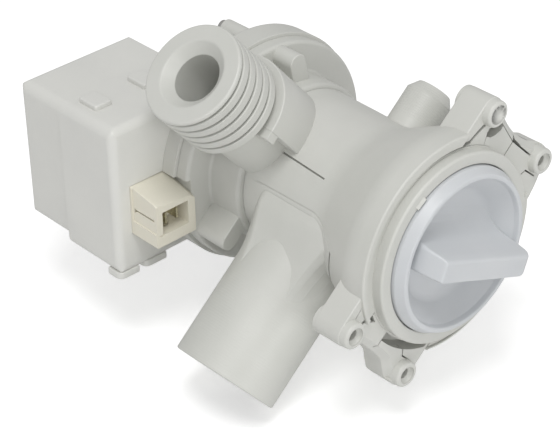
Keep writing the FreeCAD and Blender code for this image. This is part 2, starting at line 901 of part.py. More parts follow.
def front_cover():
    body = cover_shell(cover_front, cover_split, sleeve_out, True)
    top = cover_half + sleeve_out
    clip_front = cover_split - clip_long - clip_seam
    for i in range(clip_count):
        x = clip_aside - cover_left + clip_pitch * i
        for high in (top, -top - clip_high):
            body = body.fuse(block(x, x + clip_wide, clip_front, clip_front + clip_long, high, high + clip_high))
    body = body.removeSplitter().cut(socket_room(push))
    for bore in lug_bores(screw_head_r + slip, cover_front - 1, cover_front + screw_head + slip):
        body = body.cut(tilted(bore))
    return body


def rear_cover():
    return cover_shell(cover_split, cover_rear, 0, False)


def socket_room(gap):
    """The socket's outside with its sloping roof, and a gap all round it."""
    side = [
        point(-socket_left - gap, socket_front, socket_bottom - gap),
        point(-socket_left - gap, socket_front, socket_top - socket_roof_drop + gap),
        point(-socket_left - gap, cover_front, socket_top + gap),
        point(-socket_left - gap, socket_rear + gap, socket_top + gap),
        point(-socket_left - gap, socket_rear + gap, socket_bottom - gap),
    ]
    face = Part.Face(Part.makePolygon(side + side[:1]))
    return face.extrude(point(socket_left - socket_right + gap * 2, 0, 0))


def socket_mouth_box():
    """The hollow that the plug goes into."""
    return (-socket_left + socket_wall, -socket_right - socket_wall,
            socket_front - 1, socket_front + socket_mouth_deep, mouth_floor, mouth_top)


def blade_places():
    middle = -(socket_left + socket_right) / 2
    return [middle - blade_gap / 2, middle + blade_gap / 2]


def plug_socket():
    body = socket_room(0).cut(block(*socket_mouth_box()))
    for x in blade_places():
        half = blade_thick / 2 + push
        body = body.cut(block(x - half, x + half, socket_front, socket_rear + 1, blade_low, blade_low + blade_wide))
    line_low = socket_line - socket_line_wide / 2
    line_front = socket_front + socket_line_in
    line = block(-socket_left - 1, -socket_left + socket_line_wide, line_front, line_front + socket_line_long,
                 line_low, line_low + socket_line_wide)
    return body.cut(line)


def socket_blades():
    blades = []
    for x in blade_places():
        half = blade_thick / 2
        blades.append(block(x - half, x + half, socket_front + blade_short, socket_rear + blade_out,
                            blade_low + push, blade_low + blade_wide - push))
    return Part.makeCompound(blades)


NODES = {
    "filter_housing": filter_housing,
    "inlet_stub": inlet_stub,
    "side_nozzle": side_nozzle,
    "pump_chamber": pump_chamber,
    "outlet_spout": outlet_spout,
    "chamber_seal": chamber_seal,
    "motor_bracket": motor_bracket,
    "motor_screws": motor_screws,
    "rotor_can": rotor_can,
    "bearing_plate": bearing_plate,
    "front_bush": front_bush,
    "rear_bush": rear_bush,
    "rotor_shaft": rotor_shaft,
    "magnet_carrier": magnet_carrier,
    "rotor_magnet": rotor_magnet,
    "front_thrust_washer": front_thrust_washer,
    "rear_thrust_washer": rear_thrust_washer,
    "retaining_clip": retaining_clip,
    "drive_dog": drive_dog,
    "impeller": impeller,
    "filter_cap": filter_cap,
    "cap_grip": cap_grip,
    "cap_seal": cap_seal,
    "lint_filter": lint_filter,
    "lamination_stack": lamination_stack,
    "upper_bobbin": lambda: coil_bobbin(1),
    "lower_bobbin": lambda: coil_bobbin(-1),
    "upper_winding": lambda: coil_winding(1),
    "lower_winding": lambda: coil_winding(-1),
    "front_cover": front_cover,
    "rear_cover": rear_cover,
    "plug_socket": plug_socket,
    "socket_blades": socket_blades,
}


def main():
    os.makedirs("parts", exist_ok=True)
    for name, make in NODES.items():
        shape = make()
        if not shape.isValid():
            raise ValueError(name + " is not a valid shape")
        shape.exportStep("parts/" + name + ".step")
        print(name, len(shape.Solids), "solid(s)", round(shape.Volume), "mm3")


main()
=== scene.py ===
"""Visual model of a washing machine drain pump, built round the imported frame.

Sizes are in millimetres and are turned into metres where a mesh is made. The main axis is Y:
the filter cap faces -Y and the motor lies behind it. The housing is turned about Y, so its
hose stub points down and left and its ribbed spout up and left.
"""
from __future__ import annotations

import logging
import math
from dataclasses import dataclass, field
from enum import Enum
from typing import Iterable, Sequence

import bmesh
import bpy
from mathutils import Matrix, Vector

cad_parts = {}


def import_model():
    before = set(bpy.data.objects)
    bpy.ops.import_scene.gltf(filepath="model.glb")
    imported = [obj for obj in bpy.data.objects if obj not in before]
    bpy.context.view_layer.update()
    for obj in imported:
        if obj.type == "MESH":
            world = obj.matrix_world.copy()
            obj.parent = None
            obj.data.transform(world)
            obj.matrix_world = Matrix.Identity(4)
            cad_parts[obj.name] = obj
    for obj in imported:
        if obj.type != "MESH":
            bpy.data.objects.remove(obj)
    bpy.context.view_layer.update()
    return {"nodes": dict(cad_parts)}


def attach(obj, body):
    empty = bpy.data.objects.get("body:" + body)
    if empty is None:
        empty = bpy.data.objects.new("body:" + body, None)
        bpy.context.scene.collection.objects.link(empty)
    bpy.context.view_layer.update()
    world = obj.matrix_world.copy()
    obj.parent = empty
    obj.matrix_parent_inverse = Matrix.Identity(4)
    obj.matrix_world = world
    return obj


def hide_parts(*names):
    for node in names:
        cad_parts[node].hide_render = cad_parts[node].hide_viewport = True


LOG = logging.getLogger("drain_pump")
MM = 0.001
TINY = 1e-6
# Corners that turn by less than this, in radians, aren't rounded.
FLAT_CORNER = 0.02
# How strongly large faces keep their own direction in smooth shading.
FACE_PULL = 80
Point = tuple[float, float]
Outline = Sequence[Point]
Colour = tuple[float, float, float, float]


# ---------------------------------------------------------------- directions

@dataclass(frozen=True)
class Axes:
    """A local frame: an outline lies across and over, and is pushed or turned along."""

    across: Vector
    over: Vector
    along: Vector
    origin: Vector = field(default_factory=lambda: Vector((0.0, 0.0, 0.0)))

    def at(self, a: float, b: float, c: float) -> Vector:
        """The point in metres at three distances in millimetres."""
        return (self.origin + self.across * a + self.over * b + self.along * c) * MM

    def spun(self, degrees: float) -> "Axes":
        """The same frame turned about its own long axis, from across towards over.

        Args:
            degrees: the angle of the turn.

        Returns:
            A new frame with the same origin and long axis.
        """
        turn = math.radians(degrees)
        across = self.across * math.cos(turn) + self.over * math.sin(turn)
        over = self.over * math.cos(turn) - self.across * math.sin(turn)
        return Axes(across, over, self.along, self.origin)


X_WAY = Vector((1.0, 0.0, 0.0))
Y_WAY = Vector((0.0, 1.0, 0.0))
Z_WAY = Vector((0.0, 0.0, 1.0))
TILT = math.radians(40.6)
U_WAY = Vector((math.cos(TILT), 0.0, math.sin(TILT)))
S_WAY = Vector((-math.sin(TILT), 0.0, math.cos(TILT)))
STUB_Y = 50.1
NOZZLE_Y = 41.1
SPOUT_Y = 74.0

MAIN = Axes(X_WAY, Z_WAY, Y_WAY)
TILTED = Axes(U_WAY, S_WAY, Y_WAY)
STUB_AXES = Axes(Y_WAY, S_WAY, -U_WAY, Vector((0.0, STUB_Y, 0.0)))
NOZZLE_AXES = Axes(Y_WAY, S_WAY, U_WAY, Vector((0.0, NOZZLE_Y, 0.0)))
SPOUT_AXES = Axes(U_WAY, Y_WAY, S_WAY, Vector((0.0, SPOUT_Y, 0.0)))
UPRIGHT = Axes(X_WAY, Y_WAY, Z_WAY)
SIDEWAYS = Axes(Y_WAY, Z_WAY, X_WAY)

# Bores and rooms that more than one piece keeps free.
STUB_BORE = 17.4
NOZZLE_BORE = 4.6
SPOUT_BORE = 8.75
SOCKET_ROOM = ((-59.15, -14.45), (-40.95, -14.45), (-40.95, 5.45), (-59.15, 5.45))


class Cut(Enum):
    """How a tool shape changes its target."""

    AWAY = "DIFFERENCE"
    JOIN = "UNION"
    KEEP = "INTERSECT"


# ---------------------------------------------------------------- meshes

def rounded(corners: Outline, radii: float | Sequence[float], steps: int = 5) -> list[Point]:
    """A closed outline with its corners rounded.

    Args:
        corners: the outline's corners in order.
        radii: one radius for all corners, or one for each.
        steps: how many straight pieces each corner gets.

    Returns:
        The outline's points.
    """
    count = len(corners)
    each = [radii] * count if isinstance(radii, (int, float)) else list(radii)
    points: list[Point] = []
    for i, radius in enumerate(each):
        here = Vector(corners[i])
        back = Vector(corners[i - 1]) - here
        on = Vector(corners[(i + 1) % count]) - here
        opening = back.angle(on) if min(back.length, on.length) > TINY else 0.0
        if radius <= 0 or not FLAT_CORNER < opening < math.pi - FLAT_CORNER:
            points.append(tuple(here))
            continue
        reach = min(radius / math.tan(opening / 2), back.length * 0.49, on.length * 0.49)
        size = reach * math.tan(opening / 2)
        middle = (back.normalized() + on.normalized()).normalized()
        centre = here + middle * (size / math.sin(opening / 2))
        first = here + back.normalized() * reach - centre
        last = here + on.normalized() * reach - centre
        start = math.atan2(first.y, first.x)
        sweep = (math.atan2(last.y, last.x) - start + math.pi) % (2 * math.pi) - math.pi
        for step in range(steps + 1):
            angle = start + sweep * step / steps
            points.append((centre.x + size * math.cos(angle), centre.y + size * math.sin(angle)))
    return points


def ring(radius: float, count: int, centre: Point = (0.0, 0.0)) -> list[Point]:
    """Points on a circle."""
    angles = (2 * math.pi * i / count for i in range(count))
    return [(centre[0] + radius * math.cos(a), centre[1] + radius * math.sin(a)) for a in angles]


def as_object(name: str, shape: bmesh.types.BMesh) -> bpy.types.Object:
    """Turns finished mesh data into a linked object.

    Args:
        name: the object's name.
        shape: the mesh data, which is freed here.

    Returns:
        The new object.
    """
    bmesh.ops.recalc_face_normals(shape, faces=shape.faces)
    mesh = bpy.data.meshes.new(name)
    shape.to_mesh(mesh)
    shape.free()
    piece = bpy.data.objects.new(name, mesh)
    bpy.context.scene.collection.objects.link(piece)
    return piece


def loft(name: str, loops: Sequence[Sequence[Vector]]) -> bpy.types.Object:
    """A closed solid through loops that all have the same number of points.

    Args:
        name: the object's name.
        loops: the loops in order, in metres.

    Returns:
        The new object.
    """
    shape = bmesh.new()
    rows = [[shape.verts.new(p) for p in loop] for loop in loops]
    for row, after in zip(rows, rows[1:]):
        count = len(row)
        for i in range(count):
            shape.faces.new((row[i], row[(i + 1) % count], after[(i + 1) % count], after[i]))
    shape.faces.new(rows[0][::-1])
    shape.faces.new(rows[-1])
    return as_object(name, shape)


def prism(name: str, axes: Axes, outline: Outline, low: float, high: float) -> bpy.types.Object:
    """An outline with a thickness along the frame's long axis.

    Args:
        name: the object's name.
        axes: the frame that the outline lies in.
        outline: the outline's points in millimetres.
        low: where the thickness starts.
        high: where it ends.

    Returns:
        The new object.
    """
    return loft(name, [[axes.at(a, b, level) for a, b in outline] for level in (low, high)])


def lathe(name: str, axes: Axes, profile: Outline, segments: int = 144) -> bpy.types.Object:
    """A closed profile of (radius, place along) turned a full circle.

    Args:
        name: the object's name.
        axes: the frame whose long axis the profile is turned about.
        profile: the profile's points in millimetres.
        segments: how many steps the full circle has.

    Returns:
        The new object.
    """
    shape = bmesh.new()
    rows = []
    for radius, level in profile:
        if radius < TINY:
            rows.append([shape.verts.new(axes.at(0, 0, level))])
        else:
            rows.append([shape.verts.new(axes.at(a, b, level)) for a, b in ring(radius, segments)])
    for i, row in enumerate(rows):
        after = rows[(i + 1) % len(rows)]
        if len(row) == 1 and len(after) == 1:
            continue
        for j in range(segments):
            k = (j + 1) % segments
            corners = [row[j % len(row)], row[k % len(row)],
                       after[k % len(after)], after[j % len(after)]]
            shape.faces.new(list(dict.fromkeys(corners)))
    return as_object(name, shape)


def rod(name: str, axes: Axes, radius: float, low: float, high: float,
        centre: Point = (0.0, 0.0), segments: int = 64) -> bpy.types.Object:
    """A round bar along the frame's long axis."""
    return prism(name, axes, ring(radius, segments, centre), low, high)


def tube_room(radius: float, rear: float = 100.0, segments: int = 96) -> bpy.types.Object:
    """The round room inside the housing's tube, to cut out of what stands on it."""
    return rod("room", MAIN, radius, -5.0, rear, segments=segments)


def settle(piece: bpy.types.Object) -> bpy.types.Object:
    """Applies all modifiers of a piece to its mesh.

    Args:
        piece: the object.

    Returns:
        The same object with a plain mesh.
    """
    graph = bpy.context.evaluated_depsgraph_get()
    mesh = bpy.data.meshes.new_from_object(piece.evaluated_get(graph))
    piece.modifiers.clear()
    old = piece.data
    piece.data = mesh
    bpy.data.meshes.remove(old)
    return piece


def combine(piece: bpy.types.Object, tools: Iterable[bpy.types.Object],
            how: Cut) -> bpy.types.Object:
    """Cuts or joins tool shapes into a piece, one after the other.

    Args:
        piece: the object that is changed.
        tools: the shapes to use, which are removed afterwards.
        how: whether they are cut away, joined or kept in common.

    Returns:
        The changed object.
    """
    for tool in tools:
        change = piece.modifiers.new("change", "BOOLEAN")
        change.operation = how.value
        change.object = tool
        change.solver = "EXACT"
        settle(piece)
        mesh = tool.data
        bpy.data.objects.remove(tool)
        bpy.data.meshes.remove(mesh)
    return piece


def eased(piece: bpy.types.Object, width: float, steps: int = 3,
          angle: float = 32.0) -> bpy.types.Object:
    """Rounds a piece's sharp edges.

    Args:
        piece: the object.
        width: the rounding in millimetres.
        steps: how many faces the rounding gets.
        angle: edges sharper than this many degrees are rounded.

    Returns:
        The same object.
    """
    change = piece.modifiers.new("ease", "BEVEL")
    change.width = width * MM
    change.segments = steps
    change.limit_method = "ANGLE"
    change.angle_limit = math.radians(angle)
    change.use_clamp_overlap = True
    change.miter_outer = "MITER_ARC"
    return settle(piece)


def smoothed(piece: bpy.types.Object, angle: float = 40.0) -> bpy.types.Object:
    """Smooth shading with crisp edges and flat faces that stay flat.

    Args:
        piece: the object.
        angle: edges sharper than this many degrees stay crisp.

    Returns:
        The same object.
    """
    mesh = piece.data
    mesh.polygons.foreach_set("use_smooth", [True] * len(mesh.polygons))
    mesh.set_sharp_from_angle(angle=math.radians(angle))
    change = piece.modifiers.new("even", "WEIGHTED_NORMAL")
    change.keep_sharp = True
    change.weight = FACE_PULL
    return settle(piece)


def gathered(name: str, parts: Sequence[bpy.types.Object]) -> bpy.types.Object:
    """Puts several meshes into one object without changing their shapes.

    Args:
        name: the object's name.
        parts: the objects, which are removed afterwards.

    Returns:
        The new object.
    """
    shape = bmesh.new()
    for part in parts:
        shape.from_mesh(part.data)
        mesh = part.data
        bpy.data.objects.remove(part)
        bpy.data.meshes.remove(mesh)
    return as_object(name, shape)


# ---------------------------------------------------------------- shader expressions

class Link:
    """An output of a node, so that shader maths on numbers reads as an expression."""

    def __init__(self, nodes: "Nodes", socket: bpy.types.NodeSocket) -> None:
        """Keeps the socket and the nodes that it belongs to."""
        self.nodes = nodes
        self.socket = socket

    def _math(self, operation: str, first: "Link | float", second: "Link | float" = 0.0) -> "Link":
        """Adds one Math node and returns its result."""
        return self.nodes.node("ShaderNodeMath", {"operation": operation}, {0: first, 1: second})

    def __add__(self, other: "Link | float") -> "Link":
        """This plus a number or a link."""
        return self._math("ADD", self, other)

    def __radd__(self, other: float) -> "Link":
        """A number plus this."""
        return self._math("ADD", other, self)

    def __sub__(self, other: "Link | float") -> "Link":
        """This minus a number or a link."""
        return self._math("SUBTRACT", self, other)

    def __rsub__(self, other: float) -> "Link":
        """A number minus this."""
        return self._math("SUBTRACT", other, self)

    def __mul__(self, other: "Link | float") -> "Link":
        """This times a number or a link."""
        return self._math("MULTIPLY", self, other)

    def __rmul__(self, other: float) -> "Link":
        """A number times this."""
        return self._math("MULTIPLY", other, self)

    def sine(self) -> "Link":
        """The sine of this."""
        return self._math("SINE", self)

    def larger(self, other: "Link | float") -> "Link":
        """The larger of this and a number or a link."""
        return self._math("MAXIMUM", self, other)


class Nodes:
    """The nodes of a material or of the world."""

    def __init__(self, owner: bpy.types.Material | bpy.types.World) -> None:
        """Empties the node tree of its owner.

        Args:
            owner: the material or world.
        """
        owner.use_nodes = True
        self.tree = owner.node_tree
        self.tree.nodes.clear()

    def _feed(self, socket: bpy.types.NodeSocket, value: object) -> None:
        """Links or sets one input.

        Args:
            socket: the input.
            value: a link, or the value that it is set to.
        """
        if isinstance(value, Link):
            self.tree.links.new(value.socket, socket)
        else:
            socket.default_value = value

    def node(self, kind: str, settings: dict[str, object], values: dict[str | int, object],
             output: str | int = 0) -> Link | None:
        """Adds one node.

        Args:
            kind: the node's type.
            settings: its settings, which are set first.
            values: values or links for its sockets.
            output: the output to hand back.

        Returns:
            The chosen output, or None for a node that has none.
        """
        made = self.tree.nodes.new(kind)
        for setting, value in settings.items():
            setattr(made, setting, value)
        for socket, value in values.items():
            self._feed(made.inputs[socket], value)
        return Link(self, made.outputs[output]) if made.outputs else None


class Paint(Nodes):
    """One material: its shader and the nodes that feed it."""

    def __init__(self, name: str) -> None:
        """Makes an empty material with its shader and output.

        Args:
            name: the material's name.
        """
        self.material = bpy.data.materials.new(name)
        super().__init__(self.material)
        surface = self.node("ShaderNodeBsdfPrincipled", {}, {}, "BSDF")
        self.shader = surface.socket.node
        self.node("ShaderNodeOutputMaterial", {}, {"Surface": surface})

    def set(self, **values: object) -> None:
        """Sets or links the shader's sockets, with _ for a space in their names."""
        for socket, value in values.items():
            self._feed(self.shader.inputs[socket.replace("_", " ")], value)

    def place(self) -> Link:
        """The position on the piece in metres."""
        return self.node("ShaderNodeTexCoord", {}, {}, "Object")

    def noise(self, place: Link, scale: float, detail: float = 2.0, rough: float = 0.5) -> Link:
        """Soft random values between 0 and 1."""
        return self.node("ShaderNodeTexNoise", {}, {"Vector": place, "Scale": scale,
                                                    "Detail": detail, "Roughness": rough}, "Fac")

    def spread(self, value: Link, low: float, high: float) -> Link:
        """Stretches the range between low and high to 0 and 1, and clips the rest."""
        return self.node("ShaderNodeMapRange", {"clamp": True},
                         {"Value": value, "From Min": low, "From Max": high})

    def blend(self, amount: Link, first: Colour, second: Colour) -> Link:
        """A colour between two colours: 6, 7 and 2 are the node's colour sockets."""
        return self.node("ShaderNodeMix", {"data_type": "RGBA"},
                         {0: amount, 6: first, 7: second}, 2)

    def along(self, place: Link, way: Vector) -> Link:
        """How far the place lies along a direction, in metres."""
        return self.node("ShaderNodeVectorMath", {"operation": "DOT_PRODUCT"},
                         {0: place, 1: tuple(way)}, "Value")

    def waves(self, run: Link, pitch: float) -> Link:
        """A sine between -1 and 1 along a run in metres, with its pitch in millimetres."""
        return (run * (2 * math.pi / (pitch * MM))).sine()

    def bump(self, height: Link, depth: float) -> Link:
        """A normal that follows a height map, with its depth in metres."""
        return self.node("ShaderNodeBump", {},
                         {"Height": height, "Distance": depth, "Strength": 1.0}, "Normal")


def linear(red: float, green: float, blue: float) -> Colour:
    """A colour as read off a screen, as linear light.

    Args:
        red: its red part, from 0 to 255.
        green: its green part.
        blue: its blue part.

    Returns:
        The colour, opaque.
    """
    def channel(value: float) -> float:
        """One channel as linear light."""
        part = value / 255
        return part / 12.92 if part <= 0.04045 else ((part + 0.055) / 1.055) ** 2.4
    return (channel(red), channel(green), channel(blue), 1.0)


# ---------------------------------------------------------------- finishes

@dataclass(frozen=True)
class Moulded:
    """Moulded plastic: an even colour with faint flow marks and a fine satin skin."""

    name: str
    colour: Colour
    shade: Colour
    roughness: float = 0.42
    glow: float = 0.0
    glow_depth: float = 0.003
    flow_scale: float = 28.0
    speck_scale: float = 900.0
    grain_scale: float = 1400.0
    grain_depth: float = 0.00002
    ring_way: Vector | None = None
    ring_pitch: float = 1.0
    ring_from: float = 0.0
    ring_fade: float = 1.0
    ring_depth: float = 0.0

    def make(self) -> bpy.types.Material:
        """Builds the material.

        Returns:
            The finished material.
        """
        paint = Paint(self.name)
        place = paint.place()
        flow = paint.noise(place, self.flow_scale, 3.0, 0.55)
        speck = paint.noise(place, self.speck_scale, 2.0, 0.6)
        tone = paint.spread(flow, 0.30, 0.72) * 0.75 + speck * 0.25
        height = paint.noise(place, self.grain_scale, 3.0, 0.6)
        depth = self.grain_depth
        if self.ring_way is not None:
            run = paint.along(place, self.ring_way)
            wave = paint.waves(run, self.ring_pitch) * 0.5 + 0.5
            mask = paint.spread(run, self.ring_from * MM, (self.ring_from + self.ring_fade) * MM)
            height = height * 0.25 + wave * mask
            depth = self.ring_depth
        paint.set(Base_Color=paint.blend(tone, self.shade, self.colour),
                  Roughness=flow * 0.12 + (self.roughness - 0.06),
                  Normal=paint.bump(height, depth),
                  IOR=1.49)
        if self.glow > 0:
            paint.set(Subsurface_Weight=self.glow, Subsurface_Radius=(1.0, 1.0, 1.0),
                      Subsurface_Scale=self.glow_depth)
        return paint.material


@dataclass(frozen=True)
class Metal:
    """Bare or plated metal with fine marks from drawing or stamping."""

    name: str
    colour: Colour
    dull: Colour
    roughness: float = 0.3
    stretch: tuple[float, float, float] = (1.0, 12.0, 1.0)
    mark_scale: float = 260.0
    mark_depth: float = 0.00003
    cloud_scale: float = 60.0
    layers: float = 0.0

    def make(self) -> bpy.types.Material:
        """Builds the material.

        Returns:
            The finished material.
        """
        paint = Paint(self.name)
        place = paint.place()
        pulled = paint.node("ShaderNodeVectorMath", {"operation": "MULTIPLY"},
                            {0: place, 1: self.stretch}, "Vector")
        marks = paint.noise(pulled, self.mark_scale, 4.0, 0.6)
        cloud = paint.noise(place, self.cloud_scale)
        height = marks
        if self.layers > 0:
            height = paint.waves(paint.along(place, Y_WAY), self.layers) * 0.6 + marks * 0.4
        paint.set(Base_Color=paint.blend(paint.spread(cloud, 0.3, 0.7), self.dull, self.colour),
                  Metallic=1.0,
                  Roughness=marks * 0.2 + (self.roughness - 0.1),
                  Normal=paint.bump(height, self.mark_depth))
        return paint.material


@dataclass(frozen=True)
class Wound:
    """Enamelled wire wound in even layers round a coil, darkened with painted shade down in the
    grooves between the turns.
    """

    name: str
    colour: Colour
    # gap: the copper's colour in painted shade, used in the grooves between turns.
    gap: Colour
    pitch: float = 0.35
    drift_scale: float = 90.0
    drift: float = 0.0006
    wire_depth: float = 0.00012

    def make(self) -> bpy.types.Material:
        """Builds the material.

        Returns:
            The finished material.
        """
        paint = Paint(self.name)
        place = paint.place()
        drift = paint.noise(place, self.drift_scale) * self.drift
        turn = paint.waves(paint.along(place, X_WAY) + drift, self.pitch) * 0.5 + 0.5
        # Painted shade: the low part of each wave, where two turns meet, takes the darker gap
        # colour.
        paint.set(Base_Color=paint.blend(paint.spread(turn, 0.05, 0.6), self.gap, self.colour),
                  Metallic=0.85,
                  Roughness=0.5 - 0.18 * turn,
                  Normal=paint.bump(turn, self.wire_depth))
        return paint.material


@dataclass(frozen=True)
class Dull:
    """Rubber, ferrite or fired ceramic: no shine, with a fine pitted skin."""

    name: str
    colour: Colour
    shade: Colour
    roughness: float = 0.7
    pit_scale: float = 700.0
    pit_depth: float = 0.00004

    def make(self) -> bpy.types.Material:
        """Builds the material.

        Returns:
            The finished material.
        """
        paint = Paint(self.name)
        place = paint.place()
        pits = paint.noise(place, self.pit_scale, 4.0, 0.65)
        paint.set(Base_Color=paint.blend(paint.spread(pits, 0.3, 0.7), self.shade, self.colour),
                  Roughness=pits * 0.2 + (self.roughness - 0.1),
                  Normal=paint.bump(pits, self.pit_depth))
        return paint.material


GREY = linear(209, 209, 204)
GREY_SHADE = linear(199, 200, 194)


class Finish(Enum):
    """The finishes that the pump's pieces are made in."""

    HOUSING = Moulded("housing_plastic", GREY, GREY_SHADE)
    STUB = Moulded("stub_plastic", GREY, GREY_SHADE,
                   ring_way=-U_WAY, ring_pitch=1.0, ring_from=45.0, ring_depth=0.000022)
    NOZZLE = Moulded("nozzle_plastic", GREY, GREY_SHADE,
                     ring_way=U_WAY, ring_pitch=0.9, ring_from=32.0, ring_depth=0.00006)
    COVER = Moulded("cover_plastic", linear(222, 222, 217), linear(213, 213, 209), roughness=0.46)
    CAP = Moulded("cap_plastic", linear(207, 209, 211), linear(199, 202, 205), roughness=0.4,
                  glow=0.2)
    SOCKET = Moulded("socket_plastic", linear(229, 225, 210), linear(221, 217, 202), roughness=0.4)
    INNER = Moulded("inner_plastic", linear(206, 206, 200), linear(194, 194, 189))
    FILTER = Moulded("filter_plastic", linear(212, 216, 219), linear(203, 208, 212), glow=0.2)
    IMPELLER = Moulded("impeller_plastic", linear(66, 66, 70), linear(52, 52, 56), roughness=0.5)
    SCREW = Metal("screw_steel", linear(205, 204, 200), linear(178, 177, 174), roughness=0.34)
    SHAFT = Metal("shaft_steel", linear(212, 212, 212), linear(190, 190, 192), roughness=0.2)
    CORE = Metal("core_steel", linear(138, 138, 142), linear(104, 104, 108), roughness=0.5,
                 layers=0.65)
    BLADE = Metal("blade_metal", linear(224, 218, 190), linear(196, 188, 160), roughness=0.28)
    # The second colour is painted shade for the grooves between the wire's turns.
    COIL = Wound("copper", linear(205, 128, 82), linear(110, 58, 34))
    SEAL = Dull("seal_rubber", linear(46, 46, 47), linear(34, 34, 35), roughness=0.62)
    CERAMIC = Dull("bearing_ceramic", linear(232, 230, 222), linear(216, 213, 204), roughness=0.45)
    MAGNET = Dull("magnet", linear(74, 74, 78), linear(52, 52, 56), roughness=0.58)

    def material(self) -> bpy.types.Material:
        """The finish's material, made on its first use.

        Returns:
            The material.
        """
        known = bpy.data.materials.get(self.value.name + "_finish")
        if known is None:
            known = self.value.make()
            known.name = self.value.name + "_finish"
        return known


def dress(piece: bpy.types.Object, finish: Finish) -> None:
    """Gives a piece one finish all over.

    Args:
        piece: the object.
        finish: the finish.
    """
    piece.data.materials.clear()
    piece.data.materials.append(finish.material())


def place_on(piece: bpy.types.Object, body: str, finish: Finish,
             nodes: Sequence[str]) -> None:
    """Finishes a new piece and lets it stand for its nodes on a body.

    Args:
        piece: the new object.
        body: the body that it rides on.
        finish: its finish.
        nodes: the nodes that it replaces.
    """
    dress(piece, finish)
    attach(piece, body)
    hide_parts(*nodes)
    LOG.info("%s: %d faces on %s", piece.name, len(piece.data.polygons), body)


# ---------------------------------------------------------------- housing

@dataclass(frozen=True)
class Slot:
    """A narrow dark slot between two faces of an ear: its corners, width and depth."""

    points: Outline
    wide: float = 0.6
    deep: float = 8.0


